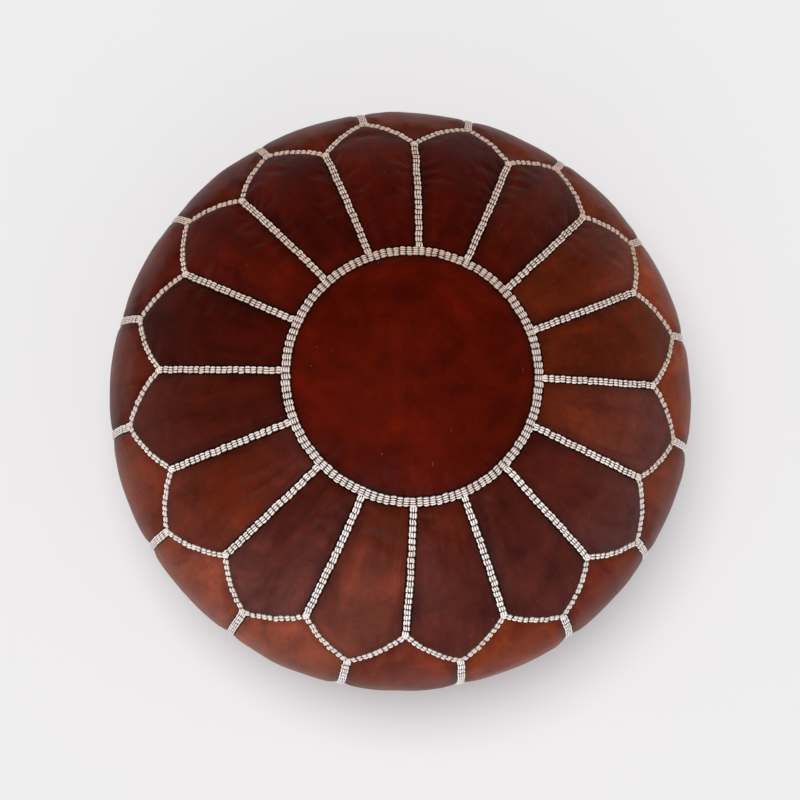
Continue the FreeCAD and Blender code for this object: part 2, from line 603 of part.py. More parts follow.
def build_slider():
    """The slider: two plates joined by the divider, with flanges round the teeth and a bail for the pull."""
    tail, nose = f"({cell('slider_tail_width')} / 2)", f"({cell('slider_nose_width')} / 2)"
    flange = cell("slider_flange")
    under, over = f"({TAPE_MIDDLE} - {CHANNEL_HALF_HEIGHT})", f"({TAPE_MIDDLE} + {CHANNEL_HALF_HEIGHT})"
    over_top = f"({over} + {cell('slider_plate')})"
    front_side = [(SLIDER_TAIL, f"(-{tail})"), (SLIDER_NOSE, f"(-{nose})")]
    plate = front_side + [(SLIDER_NOSE, nose), (SLIDER_TAIL, tail)]
    slider = prism("slider", plate, PLATE_FACE, under)

    divider_half = f"({cell('divider_width')} / 2)"
    divider_y = (f"(-{divider_half})", divider_half)
    box("slider_divider", (DIVIDER_TAIL, DIVIDER_NOSE), divider_y, (under, over), slider)
    prism("slider_over", plate, over, over_top, slider)

    tape_room = f"({cell('tape_thickness')} / 2 + {cell('slider_room')})"
    levels = ((under, f"({TAPE_MIDDLE} - {tape_room})"), (f"({TAPE_MIDDLE} + {tape_room})", over))
    for side, sign in (("back", ""), ("front", "-")):
        strip = [
            (SLIDER_TAIL, f"({sign}({tail} - {flange}))"),
            (SLIDER_NOSE, f"({sign}({nose} - {flange}))"),
            (SLIDER_NOSE, f"({sign}{nose})"),
            (SLIDER_TAIL, f"({sign}{tail})"),
        ]
        for number, (bottom, top) in enumerate(levels, start=1):
            prism(f"slider_flange_{side}_{number}", strip, bottom, top, slider)

    bail_half = f"({cell('bail_width')} / 2)"
    bail_y = (f"(-{bail_half})", bail_half)
    bail_bottom = f"({BAIL_INSIDE} - {cell('bail_thickness')})"
    bail_x = f"({PIVOT_X} - {cell('bail_length')} / 2)", f"({PIVOT_X} + {cell('bail_length')} / 2)"
    foot_z = (bail_bottom, PLATE_FACE)
    box("bail_tail", (bail_x[0], f"({bail_x[0]} + {cell('bail_thickness')})"), bail_y, foot_z, slider)
    box("bail_nose", (f"({bail_x[1]} - {cell('bail_thickness')})", bail_x[1]), bail_y, foot_z, slider)
    box("bail_strap", bail_x, bail_y, (bail_bottom, BAIL_INSIDE), slider)
    return {"zip_slider": slider}


def build_pull():
    """The pull, drawn flat with its bar on the Y axis, then set on the slider's bail and let droop."""
    arms = f"({cell('pull_eye_width')} / 2 + {cell('pull_arm')})"
    tip, corner = f"({cell('pull_tip_width')} / 2)", cell("pull_corner")
    eye_end = f"(-({cell('bail_length')} / 2 + 2 * {cell('pull_room')}))"
    neck = f"({eye_end} - {cell('pull_arm')})"
    end = f"(-{cell('pull_length')})"
    upper_side = [
        ("0", arms),
        (neck, arms),
        (f"({neck} * 2)", tip),
        (f"({end} + {corner})", tip),
        (end, f"({tip} - {corner})"),
    ]
    lower_side = [(x, f"(-{y})") for x, y in reversed(upper_side)]
    pull = prism("pull", upper_side + lower_side, f"(-{PULL_HALF})", PULL_HALF)

    eye_half = f"({cell('pull_eye_width')} / 2)"
    eye_y = (f"(-{eye_half})", eye_half)
    carve(pull, "pull_eye", (eye_end, "1"), eye_y, (f"(-{PULL_HALF})", PULL_HALF))
    hole = Outline(pull, "pull_hole", XY_PLANE, height=PULL_HALF)
    hole.circle(f"({end} + {cell('pull_hole_inset')})", "0", f"({cell('pull_hole_diameter')} / 2)")
    pocket(pull, hole, cell("pull_thickness"))
    bar = Outline(pull, "pull_bar", XZ_PLANE)
    bar.circle("0", "0", PULL_HALF)
    pad(pull, bar, f"2 * {arms}", both_ways=True)

    pull.Placement = FreeCAD.Placement(ORIGIN, FreeCAD.Rotation(FreeCAD.Vector(0, 1, 0), -1))
    pull.setExpression("Placement.Base.x", PIVOT_X)
    pull.setExpression("Placement.Base.z", PIVOT_Z)
    pull.setExpression("Placement.Rotation.Angle", f"-{cell('pull_droop')}")
    doc.recompute()
    return {"zip_pull": pull}


def build_tapes():
    """The two tapes behind the base, and the two rows of stitches that sew them to it."""
    end = f"({SLOT_END} + {cell('tape_overrun')})"
    y = (TAPE_EDGE, f"({TAPE_EDGE} + {cell('tape_width')})")
    z = (TAPE_BOTTOM, f"({TAPE_BOTTOM} + {cell('tape_thickness')})")
    back = box("tape_back", (f"(-{end})", end), y, z)

    stitches = new_body("stitches_back")
    outline = Outline(stitches, "stitch_outline", YZ_PLANE, height=f"-{SLOT_END}")
    radius = f"({cell('thread_diameter')} / 2)"
    level = f"{cell('dish_depth')} - {cell('braid_gap')} - {radius}"
    outline.circle(f"{SLOT_SIDE} + {cell('stitch_inset')}", level, radius)
    pad(stitches, outline, cell("stitch_length"))
    row(stitches, "N_Axis", cell("stitch_pitch"), f"floor(2 * {SLOT_END} / {cell('stitch_pitch')})")
    both = group("stitches", [stitches, turned("stitches_front", stitches, "180")])
    return {
        "zip_tape_back": back,
        "zip_tape_front": turned("tape_front", back, "180"),
        "zip_stitching": both,
    }


def check(pieces):
    """Stops the build if any object in the document, or any piece, came out wrong."""
    doc.recompute()
    for item in doc.Objects:
        if {"Invalid", "Error"} & set(item.State):
            raise RuntimeError(f"{item.Name} did not recompute: {item.State}")
    for name, item in pieces.items():
        if item.Shape.isNull() or not item.Shape.isValid() or not item.Shape.Solids:
            raise RuntimeError(f"{name} has no sound shape")


def export(pieces):
    """Writes one STEP file for each piece, named as the piece is."""
    os.makedirs(PARTS_FOLDER, exist_ok=True)
    for name, item in pieces.items():
        item.Label = name
        item.Shape.exportStep(f"{PARTS_FOLDER}/{name}.step")
        solids = item.Shape.Solids
        print(f"{name}: {len(solids)} solids, {sum(s.Volume for s in solids) / 1000:.2f} cm3")


def main():
    """Builds every piece, checks them and writes them out."""
    fill_sheet()
    hide_inside = envelope("cover_inside", f"-{cell('hide')}")
    wall = combine("Cut", "cover_wall", envelope("cover_outside", "0"), hide_inside)
    pieces = {
        **build_top(wall),
        **build_sides(wall),
        **build_base(wall),
        **build_braids(),
        **build_filling(),
        **build_tapes(),
        **build_teeth(),
        **build_zip_ends(),
        **build_slider(),
        **build_pull(),
    }
    check(pieces)
    export(pieces)


main()
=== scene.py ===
"""A round leather pouf with a petalled top: its hides, stitched bands, zip, filling and studio.

The work goes in the order that a maker takes: the outline and the seam pattern, the hides cut to
that pattern and filled out by a cloth simulation, the bands of cream stitches laid over the seams,
the base with its zip, and what fills the cover. Lengths are in metres.
"""

from __future__ import annotations

import json
import logging
import math
from collections.abc import Callable
from dataclasses import dataclass, field
from enum import Enum
from functools import cached_property

import bpy
import numpy as np
from mathutils import Matrix, Vector, noise

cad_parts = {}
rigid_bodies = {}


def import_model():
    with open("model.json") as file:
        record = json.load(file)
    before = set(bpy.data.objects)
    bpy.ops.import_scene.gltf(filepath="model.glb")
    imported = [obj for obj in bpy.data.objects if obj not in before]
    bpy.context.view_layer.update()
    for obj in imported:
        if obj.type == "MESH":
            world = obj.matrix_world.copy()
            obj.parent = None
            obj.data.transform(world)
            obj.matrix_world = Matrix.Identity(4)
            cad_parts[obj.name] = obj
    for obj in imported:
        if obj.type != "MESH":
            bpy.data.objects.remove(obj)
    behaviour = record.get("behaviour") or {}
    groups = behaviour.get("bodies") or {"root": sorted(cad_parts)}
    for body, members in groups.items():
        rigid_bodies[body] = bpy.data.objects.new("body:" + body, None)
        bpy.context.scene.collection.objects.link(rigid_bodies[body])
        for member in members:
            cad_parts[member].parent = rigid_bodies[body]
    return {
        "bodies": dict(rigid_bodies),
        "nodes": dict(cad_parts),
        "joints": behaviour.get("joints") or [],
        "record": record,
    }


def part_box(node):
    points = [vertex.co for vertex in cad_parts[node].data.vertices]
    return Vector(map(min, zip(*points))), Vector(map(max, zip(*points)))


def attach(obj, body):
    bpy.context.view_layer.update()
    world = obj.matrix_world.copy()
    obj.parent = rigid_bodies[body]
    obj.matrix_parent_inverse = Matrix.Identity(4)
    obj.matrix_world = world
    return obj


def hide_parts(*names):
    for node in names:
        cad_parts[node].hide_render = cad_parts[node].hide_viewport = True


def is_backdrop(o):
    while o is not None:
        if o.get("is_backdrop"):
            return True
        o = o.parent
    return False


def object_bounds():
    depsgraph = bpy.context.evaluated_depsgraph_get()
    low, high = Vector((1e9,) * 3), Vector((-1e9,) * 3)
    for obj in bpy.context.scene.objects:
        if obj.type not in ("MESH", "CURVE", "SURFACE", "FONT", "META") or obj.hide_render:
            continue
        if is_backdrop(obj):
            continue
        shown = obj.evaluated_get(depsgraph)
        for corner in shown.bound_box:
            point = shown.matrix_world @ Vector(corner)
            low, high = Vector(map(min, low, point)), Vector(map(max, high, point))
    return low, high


log = logging.getLogger("pouf")

DEGREE = math.pi / 180.0
MILLIMETRE = 0.001


# ---------------------------------------------------------------- nodes


def operator(name: str, swapped: bool = False) -> Callable[[Wire, Wire | float], Wire]:
    """Makes one of the arithmetic methods of Wire.

    Args:
        name: The Math node's operation.
        swapped: Whether the wire is the second value.

    Returns:
        The method, which adds a Math node.
    """

    def apply(self: Wire, other: Wire | float) -> Wire:
        """The result for this wire and another value."""
        first, second = (other, self) if swapped else (self, other)
        return self.board.node("ShaderNodeMath", {"operation": name}, {0: first, 1: second})[0]

    return apply


@dataclass(frozen=True)
class Wire:
    """A node's output that takes part in arithmetic; each operation adds a Math node."""

    board: Board
    socket: bpy.types.NodeSocket

    __add__ = operator("ADD")
    __radd__ = operator("ADD", True)
    __sub__ = operator("SUBTRACT")
    __rsub__ = operator("SUBTRACT", True)
    __mul__ = operator("MULTIPLY")
    __rmul__ = operator("MULTIPLY", True)
    __pow__ = operator("POWER")

    def function(self, name: str) -> Wire:
        """The result of a Math node's operation on this value alone."""
        return self.board.node("ShaderNodeMath", {"operation": name}, {0: self})[0]

    def ramp(self, low: float, high: float, start: float = 0.0, end: float = 1.0) -> Wire:
        """Eases the value from one range to another and holds it at both ends.

        Args:
            low: The value at which the result is start.
            high: The value at which the result is end.
            start: The result at and below low.
            end: The result at and above high.

        Returns:
            The eased value.
        """
        settings = {"interpolation_type": "SMOOTHSTEP", "clamp": True}
        sockets = {"Value": self, 1: low, 2: high, 3: start, 4: end}
        return self.board.node("ShaderNodeMapRange", settings, sockets)[0]


@dataclass(frozen=True)
class Board:
    """A node tree to which nodes are added by type, settings and sockets."""

    tree: bpy.types.NodeTree

    def node(self, kind: str, settings: dict | None = None, sockets: dict | None = None) -> list[Wire]:
        """Adds one node.

        Args:
            kind: The node's type name.
            settings: Its properties, set before its sockets.
            sockets: Values or wires by the name or the number of its inputs.

        Returns:
            The node's outputs, in order.
        """
        made = self.tree.nodes.new(kind)
        for name, value in (settings or {}).items():
            setattr(made, name, value)
        for key, value in (sockets or {}).items():
            socket = made.inputs[key]
            if isinstance(value, Wire):
                self.tree.links.new(value.socket, socket)
            else:
                socket.default_value = value
        return [Wire(self, output) for output in made.outputs]

    def mixed(
        self, factor: Wire | float, first: Wire | tuple, second: Wire | tuple, how: str = "MIX"
    ) -> Wire:
        """Mixes two colours.

        Args:
            factor: How much of the second colour shows, from 0 to 1.
            first: The colour at factor 0.
            second: The colour at factor 1.
            how: The Mix node's blend type.

        Returns:
            The mixed colour.
        """
        settings = {"data_type": "RGBA", "blend_type": how, "clamp_factor": True}
        sockets = {0: factor, 6: first, 7: second}
        return self.node("ShaderNodeMix", settings, sockets)[2]

    def scaled(self, colour: Wire | tuple, amount: Wire | float) -> Wire:
        """Makes a colour lighter or darker by an amount."""
        return self.node("ShaderNodeVectorMath", {"operation": "SCALE"}, {0: colour, 3: amount})[0]

    def parts(self, place: Wire) -> list[Wire]:
        """The three values of a vector."""
        return self.node("ShaderNodeSeparateXYZ", None, {0: place})

    def joined(self, east: Wire | float, north: Wire | float, up: Wire | float) -> Wire:
        """A vector of three values."""
        return self.node("ShaderNodeCombineXYZ", None, {0: east, 1: north, 2: up})[0]

    def cloud(
        self, place: Wire, scale: float, detail: float = 3.0, rough: float = 0.55, bend: float = 0.0
    ) -> Wire:
        """Soft noise over a place.

        Args:
            place: The coordinates it is read at.
            scale: Its patches per metre.
            detail: How many finer layers it has.
            rough: How strong the finer layers are.
            bend: How far it is drawn out into swirls.

        Returns:
            A value from 0 to 1 that stays mostly near one half.
        """
        sockets = {"Vector": place, "Scale": scale, "Detail": detail, "Roughness": rough, "Distortion": bend}
        return self.node("ShaderNodeTexNoise", None, sockets)[0]

    def cells(self, place: Wire, scale: float) -> Wire:
        """The distance to the nearest of many scattered points, so many to a metre."""
        return self.node("ShaderNodeTexVoronoi", None, {"Vector": place, "Scale": scale})[0]


class Finish:
    """A surface finish; each kind lays out its own nodes once and is then shared."""

    label: str = "finish"

    def lay(self, board: Board, place: Wire) -> dict[str, Wire | float | tuple]:
        """Lays the nodes of one kind of finish.

        Args:
            board: The material's node tree.
            place: The object's own coordinates, in metres.

        Returns:
            Values and wires by the name of the shader's socket; "Height" goes through a bump.
        """
        raise NotImplementedError

    @cached_property
    def material(self) -> bpy.types.Material:
        """The finish as a material, made the first time it is asked for.

        Returns:
            The material.
        """
        made = bpy.data.materials.new(self.label)
        made.use_nodes = True
        made.node_tree.nodes.clear()
        board = Board(made.node_tree)
        place = board.node("ShaderNodeTexCoord")[3]
        sockets = self.lay(board, place)
        height = sockets.pop("Height", None)
        if height is not None:
            depth = sockets.pop("Depth", 0.5 * MILLIMETRE)
            lie = {"Strength": 1.0, "Distance": depth, "Height": height}
            sockets["Normal"] = board.node("ShaderNodeBump", None, lie)[0]
        surface = board.node("ShaderNodeBsdfPrincipled", None, sockets)[0]
        board.node("ShaderNodeOutputMaterial", None, {"Surface": surface})
        return made


def linear(red: float, green: float, blue: float) -> tuple[float, float, float, float]:
    """A shade as the shaders need it, from its strengths on the usual scale of 0 to 255.

    Args:
        red: The red strength.
        green: The green strength.
        blue: The blue strength.

    Returns:
        The linear colour with full alpha.
    """
    parts = [strength / 255.0 for strength in (red, green, blue)]
    straight = [p / 12.92 if p <= 0.04045 else ((p + 0.055) / 1.055) ** 2.4 for p in parts]
    return (*straight, 1.0)


class DyeAndPaintedLight(Enum):
    """The dye lots of the hides: each hide takes up the dye a little differently, and the lots also carry
    painted light. The hides towards +Y take the darker lots as painted shade, those towards -Y the paler
    lots as painted light, and the paler lots with more green and blue, such as PLUM, CLAY, ROSEWOOD and
    COPPER, carry a painted sheen.
    """

    EBONY = (56, 10, 3)
    OXBLOOD = (68, 11, 2)
    GARNET = (80, 15, 4)
    MAHOGANY = (72, 21, 8)
    TOBACCO = (82, 25, 6)
    CHESTNUT = (92, 31, 9)
    ROSEWOOD = (79, 31, 24)
    PLUM = (92, 50, 44)
    UMBER = (94, 36, 9)
    RUSSET = (100, 43, 30)
    SADDLE = (108, 46, 22)
    CLAY = (106, 53, 41)
    COGNAC = (127, 58, 33)
    COPPER = (122, 65, 52)

    @property
    def shade(self) -> np.ndarray:
        """The lot's colour as the shaders need it."""
        return np.array(linear(*self.value)[:3])


@dataclass(frozen=True)
class Leather(Finish):
    """Dyed goatskin: mottled, darker along its seams with a near-black painted shade line at each band's
    edge, with a fine grain and a few pale scuffs.
    """

    label: str = "dyed_hide"
    mottle: float = 0.55
    seam_darkening: float = 0.28
    grain: float = 620.0
    roughness: float = 0.4
    strength: float = 0.86
    gloss: float = 0.065
    drawn_out: float = 12.0
    rubbed_tint: tuple[float, ...] = (1.55, 1.35, 1.05, 1.0)
    brushed_tint: tuple[float, ...] = (0.78, 0.7, 0.9, 1.0)
    bare: tuple[float, float, float] = (156, 104, 76)

    def lay(self, board: Board, place: Wire) -> dict[str, Wire | float | tuple]:
        """Lays the dye with its painted light and sheen, its clouds, the painted shade at the seams and the
        grain.

        Args:
            board: The material's node tree.
            place: The object's own coordinates, in metres.

        Returns:
            Values and wires by socket, as Finish.lay has them.
        """
        # The dye attribute holds each hide's dye with painted light and sheen mixed in.
        dye = board.node("ShaderNodeAttribute", {"attribute_name": "dye"})[0]
        seam = board.node("ShaderNodeAttribute", {"attribute_name": "seam"})[2]
        broad = board.cloud(place, 15.0, detail=3.0, rough=0.6, bend=0.9)
        patchy = board.cloud(place, 52.0, detail=4.0, rough=0.62, bend=0.5)
        fine = board.cloud(place, 260.0, detail=3.0, rough=0.6)
        streaks = self.streaks(board, place)
        shade = 1.0 + self.mottle * (broad - 0.5) * 2.0 + self.mottle * (patchy - 0.5) * 1.1
        shade = shade + (fine - 0.5) * 0.4 + (streaks - 0.5) * 0.6
        colour = board.scaled(dye, shade)
        rubbed = (broad.ramp(0.5, 0.74) * patchy.ramp(0.35, 0.7) + streaks.ramp(0.56, 0.72) * 0.8) * 0.42
        warm = board.mixed(1.0, colour, self.rubbed_tint, "MULTIPLY")
        colour = board.mixed(rubbed, colour, warm)
        cool = board.mixed(1.0, colour, self.brushed_tint, "MULTIPLY")
        colour = board.mixed(streaks.ramp(0.5, 0.36) * 0.6, colour, cool)
        pores = board.cells(place, self.grain)
        deep = pores.ramp(0.0, 0.35, 0.84, 1.0)
        # Darker within 11 mm of the seams.
        near = seam.ramp(0.0, 0.011, 1.0 - self.seam_darkening, 1.0)
        # A near-black painted shade line where the hide dips under the band.
        crease = seam.ramp(0.0005, 0.0016, 0.16, 1.0)
        colour = board.scaled(colour, near * crease * deep * self.strength)
        scuff = board.cells(place, 95.0).ramp(0.035, 0.075, 1.0, 0.0)
        scuff = scuff * board.cloud(place, 30.0, detail=2.0).ramp(0.58, 0.64)
        scratch = self.scratches(board, place)
        colour = board.mixed(scuff * 0.4 + scratch * 0.3, colour, linear(*self.bare))
        rough = self.roughness + (patchy - 0.5) * 0.22 + (1.0 - near) * 0.2
        creases = board.cloud(place, 120.0, detail=5.0, rough=0.7, bend=1.2)
        height = pores.ramp(0.0, 0.55) * 0.14 + creases * 0.6 + fine * 0.3 - scuff * 0.1 - scratch * 0.25
        height = height + self.gathers(board, place, seam) * 2.6
        return {
            "Base Color": colour,
            "Roughness": rough,
            "Specular IOR Level": self.gloss,
            "Height": height,
            "Depth": 0.5 * MILLIMETRE,
        }

    def whirl(self, board: Board, place: Wire, turns: float) -> Wire:
        """Coordinates in which a cloud is drawn out from the middle of the cover.

        Args:
            board: The material's node tree.
            place: The object's own coordinates, in metres.
            turns: How finely the cloud is split round the cover.

        Returns:
            The coordinates.
        """
        east, north, up = board.parts(place)
        angle = board.node("ShaderNodeMath", {"operation": "ARCTAN2"}, {0: north, 1: east})[0]
        radius = (east * east + north * north) ** 0.5
        return board.joined(angle * turns, radius * self.drawn_out, up * self.drawn_out)

    def gathers(self, board: Board, place: Wire, seam: Wire) -> Wire:
        """Short puckers where the hide is drawn into a seam, here and there.

        Args:
            board: The material's node tree.
            place: The object's own coordinates, in metres.
            seam: The distance from the nearest band.

        Returns:
            The puckers' height, from 0 to 1.
        """
        drawn = board.cloud(self.whirl(board, place, 60.0), 1.0, detail=2.0, rough=0.45, bend=0.3)
        here = board.cloud(place, 19.0, detail=2.0).ramp(0.44, 0.6)
        return drawn * seam.ramp(0.0015, 0.02, 1.0, 0.0) * here

    def streaks(self, board: Board, place: Wire) -> Wire:
        """Brush marks that run out from the middle, as the dye is wiped on.

        Args:
            board: The material's node tree.
            place: The object's own coordinates, in metres.

        Returns:
            A value from 0 to 1 that stays mostly near one half.
        """
        east, north, _ = board.parts(place)
        radius = (east * east + north * north) ** 0.5
        flat = board.cloud(place, 26.0, detail=4.0, rough=0.6, bend=0.6)
        drawn = board.cloud(self.whirl(board, place, 11.0), 1.0, detail=4.0, rough=0.6, bend=0.5)
        outer = radius.ramp(0.08, 0.14)
        return drawn * outer + flat * (1.0 - outer)

    def scratches(self, board: Board, place: Wire) -> Wire:
        """Short pale scratches that lie two ways.

        Args:
            board: The material's node tree.
            place: The object's own coordinates, in metres.

        Returns:
            One on a scratch and zero elsewhere.
        """
        few = board.cloud(place, 24.0, detail=2.0)
        marks = []
        for turn, low in ((0.7, 0.60), (2.2, 0.57)):
            lie = {0: place, "Rotation": (0.3, 0.0, turn), "Scale": (1.0, 0.16, 0.6)}
            drawn = board.node("ShaderNodeMapping", {"vector_type": "POINT"}, lie)[0]
            mark = board.cells(drawn, 75.0).ramp(0.025, 0.05, 1.0, 0.0)
            marks.append(mark * few.ramp(low, low + 0.03))
        return marks[0] + marks[1]


@dataclass(frozen=True)
class Thread(Finish):
    """Plied thread whose twist follows each stitch's own map, with painted shade at its ends, on its sides,
    in its ply grooves and towards +Y.
    """

    label: str = "cream_thread"
    light: tuple[float, float, float] = (255, 253, 251)
    # The tan that the random bleach and the painted shade mix towards.
    dark: tuple[float, float, float] = (214, 171, 143)
    roughness: float = 0.55
    twists: float = 3.0
    north_shade: float = 0.42

    def lay(self, board: Board, place: Wire) -> dict[str, Wire | float | tuple]:
        """Lays the plies, the uneven bleach, and painted shade at the ends, on the sides, in the ply grooves
        and towards +Y.

        Args:
            board: The material's node tree.
            place: The object's own coordinates, in metres.

        Returns:
            Values and wires by socket, as Finish.lay has them.
        """
        spread = board.node("ShaderNodeUVMap", {"uv_map": "UVMap"})[0]
        around, along, _ = board.parts(spread)
        ply = ((around * 2.0 + along * self.twists) * 2.0 * math.pi).function("SINE") * 0.5 + 0.5
        bleach = board.cloud(place, 16.0, detail=4.0, rough=0.6)
        speck = board.cloud(place, 900.0, detail=2.0)
        # Painted shade at both ends, where each thread dips into the hide.
        ends = along.ramp(0.04, 0.22, 1.0, 0.0) + along.ramp(0.78, 0.96)
        north = board.parts(place)[1]
        # Painted shade on each thread's sides, away from its top.
        flank = ((around - 0.5) * (around - 0.5)).ramp(0.016, 0.06)
        # Painted shade: the threads turn tan towards +Y.
        painted_shade_north = north.ramp(-0.16, 0.2) * self.north_shade
        # The mix takes the random bleach towards tan and adds painted shade in the ply grooves, towards +Y
        # and on the sides.
        mix = bleach.ramp(0.45, 0.8, 0.0, 0.3) + (1.0 - ply) * 0.15 + speck * 0.08 + painted_shade_north + flank * 0.3
        colour = board.mixed(mix, linear(*self.light), linear(*self.dark))
        # Darkens the ends and the sides further, as painted shade.
        colour = board.scaled(colour, (1.0 - ends * 0.7) * (1.0 - flank * 0.35))
        return {
            "Base Color": colour,
            "Roughness": self.roughness + speck * 0.2,
            "Specular IOR Level": 0.25,
            "Sheen Weight": 0.15,
            "Height": ply * 0.7 + speck * 0.3,
            "Depth": 0.25 * MILLIMETRE,
        }


@dataclass(frozen=True)
class Weave(Finish):
    """Plain woven cloth on the object's own axes, used for the zip tape and the bag."""

    label: str = "woven_cloth"
    light: tuple[float, float, float] = (96, 60, 42)
    dark: tuple[float, float, float] = (48, 28, 20)
    threads: float = 1600.0
    roughness: float = 0.85

    def lay(self, board: Board, place: Wire) -> dict[str, Wire | float | tuple]:
        """Lays warp and weft over each other.

        Args:
            board: The material's node tree.
            place: The object's own coordinates, in metres.

        Returns:
            Values and wires by socket, as Finish.lay has them.
        """
        across, along, up = board.parts(place)
        warp = (across * (self.threads * 2.0)).function("SINE") * 0.5 + 0.5
        weft = ((along + up) * (self.threads * 2.0)).function("SINE") * 0.5 + 0.5
        woven = warp * weft
        slub = board.cloud(place, 220.0, detail=4.0, rough=0.65)
        mix = woven * 0.7 + slub * 0.4
        colour = board.mixed(mix, linear(*self.dark), linear(*self.light))
        return {
            "Base Color": colour,
            "Roughness": self.roughness + slub * 0.1,
            "Specular IOR Level": 0.2,
            "Height": woven + slub * 0.5,
            "Depth": 0.2 * MILLIMETRE,
        }


@dataclass(frozen=True)
class Brass(Finish):
    """Worn brass: bright, with patches of dull brown tarnish laid at random."""

    label: str = "worn_brass"
    bright: tuple[float, float, float] = (214, 176, 104)
    dull: tuple[float, float, float] = (122, 88, 46)
    roughness: float = 0.3

    def lay(self, board: Board, place: Wire) -> dict[str, Wire | float | tuple]:
        """Lays the tarnish and fine scratches.

        Args:
            board: The material's node tree.
            place: The object's own coordinates, in metres.

        Returns:
            Values and wires by socket, as Finish.lay has them.
        """
        tarnish = board.cloud(place, 150.0, detail=5.0, rough=0.65, bend=0.6)
        wear = board.cloud(place, 1100.0, detail=3.0, rough=0.6, bend=2.0)
        mix = tarnish.ramp(0.38, 0.66)
        colour = board.mixed(mix, linear(*self.bright), linear(*self.dull))
        return {
            "Base Color": colour,
            "Metallic": 1.0 - mix * 0.15,
            "Roughness": self.roughness + mix * 0.25 + wear * 0.12,
            "Height": wear,
            "Depth": 0.06 * MILLIMETRE,
        }


@dataclass(frozen=True)
class Fibre(Finish):
    """Loose, matted white stuffing."""

    label: str = "loose_fibre"
    light: tuple[float, float, float] = (236, 233, 226)
    dark: tuple[float, float, float] = (196, 190, 178)

    def lay(self, board: Board, place: Wire) -> dict[str, Wire | float | tuple]:
        """Lays tangled strands.

        Args:
            board: The material's node tree.
            place: The object's own coordinates, in metres.

        Returns:
            Values and wires by socket, as Finish.lay has them.
        """
        tangle = board.cloud(place, 160.0, detail=6.0, rough=0.75, bend=3.0)
        lump = board.cloud(place, 24.0, detail=3.0)
        colour = board.mixed(tangle * 0.7 + lump * 0.4, linear(*self.dark), linear(*self.light))
        return {
            "Base Color": colour,
            "Roughness": 0.9 + tangle * 0.1,
            "Specular IOR Level": 0.1,
            "Height": tangle + lump,
            "Depth": 1.5 * MILLIMETRE,
        }


@dataclass(frozen=True)
class Paper(Finish):
    """The studio's pale paper sweep."""

    label: str = "pale_paper"
    tone: tuple[float, float, float] = (219, 218, 219)
    speck: tuple[float, float, float] = (210, 209, 210)

    def lay(self, board: Board, place: Wire) -> dict[str, Wire | float | tuple]:
        """Lays a barely visible tooth.

        Args:
            board: The material's node tree.
            place: The object's own coordinates, in metres.

        Returns:
            Values and wires by socket, as Finish.lay has them.
        """
        tooth = board.cloud(place, 300.0, detail=2.0)
        colour = board.mixed(tooth * 0.06, linear(*self.tone), linear(*self.speck))
        return {"Base Color": colour, "Roughness": 0.9, "Specular IOR Level": 0.05}


# ---------------------------------------------------------------- outline and pattern


@dataclass(frozen=True)
class Outline:
    """The cover's outline: four arcs from the top's middle round to the foot, then the dished base."""

    radius: float
    height: float
    widest_share: float = 0.45
    shoulder: float = 0.100
    flank: float = 0.180
    foot: float = 0.052
    rest: float = 0.018
    ramp: float = 0.012
    dish: float = 0.014
    arc_samples: int = 240
    base_samples: int = 1400

    @cached_property
    def trace(self) -> np.ndarray:
        """The outline along the four arcs, from the middle of the top to the floor.

        Returns:
            Rows of run, radius, height, outward radius and outward height.
        """
        widest = self.height * self.widest_share
        rise = self.height - widest
        reach = self.radius - self.shoulder
        crown = (rise**2 + reach**2 - self.shoulder**2) / (2.0 * (rise - self.shoulder))
        turn = math.atan2(widest - (self.height - crown), reach)
        low = math.asin((widest - self.foot) / (self.flank - self.foot))
        arcs = [
            (0.0, self.height - crown, crown, math.pi / 2.0, turn),
            (reach, widest, self.shoulder, turn, 0.0),
            (self.radius - self.flank, widest, self.flank, 0.0, -low),
            (self.foot_centre, self.foot, self.foot, -low, -math.pi / 2.0),
        ]
        rows, run = [], 0.0
        for centre, level, size, first, last in arcs:
            angles = np.linspace(first, last, self.arc_samples)
            runs = run + size * (first - angles)
            out, up = np.cos(angles), np.sin(angles)
            rows.append(np.stack([runs, centre + size * out, level + size * up, out, up], axis=1))
            run = runs[-1]
        return np.concatenate(rows)

    @property
    def foot_centre(self) -> float:
        """How far out the foot's arc has its centre."""
        drop = self.height * self.widest_share - self.foot
        return self.radius - self.flank + math.sqrt((self.flank - self.foot) ** 2 - drop**2)

    @property
    def longest(self) -> float:
        """The run at which the foot's arc meets the floor."""
        return float(self.trace[-1, 0])

    def at(self, run: np.ndarray) -> list[np.ndarray]:
        """Radius, height, outward radius and outward height at a run from the middle of the top."""
        return [np.interp(run, self.trace[:, 0], self.trace[:, column]) for column in (1, 2, 3, 4)]

    def run_on_top(self, radius: np.ndarray | float) -> np.ndarray:
        """The run at which the top has a radius."""
        last = int(np.argmax(self.trace[:, 1])) + 1
        return np.interp(radius, self.trace[:last, 1], self.trace[:last, 0])

    def run_below(self, radius: float) -> float:
        """The run at which the side, under its widest level, has a radius."""
        first = int(np.argmax(self.trace[:, 1]))
        return float(np.interp(radius, self.trace[first:, 1][::-1], self.trace[first:, 0][::-1]))

    def underside(self, radius: np.ndarray) -> np.ndarray:
        """The height of the base at a radius, its corners rounded by the hide.

        Args:
            radius: Distances from the upright axis.

        Returns:
            Heights above the floor.
        """
        steps = np.linspace(0.0, self.radius, self.base_samples)
        reach, spread, blend = 30, 9.0, 0.008
        inner = self.foot_centre - self.rest
        level = np.interp(steps, [inner - self.ramp, inner], [self.dish, 0.0])
        past = np.clip(steps - self.foot_centre, 0.0, self.foot * 0.98)
        level = level + self.foot - np.sqrt(self.foot**2 - past**2)
        bell = np.exp(-0.5 * (np.arange(-reach, reach + 1) / spread) ** 2)
        padded = np.pad(level, reach, mode="edge")
        soft = np.convolve(padded, bell / bell.sum(), mode="valid")
        soft = np.where(steps > self.foot_centre + blend, level, soft)
        return np.interp(radius, steps, soft)


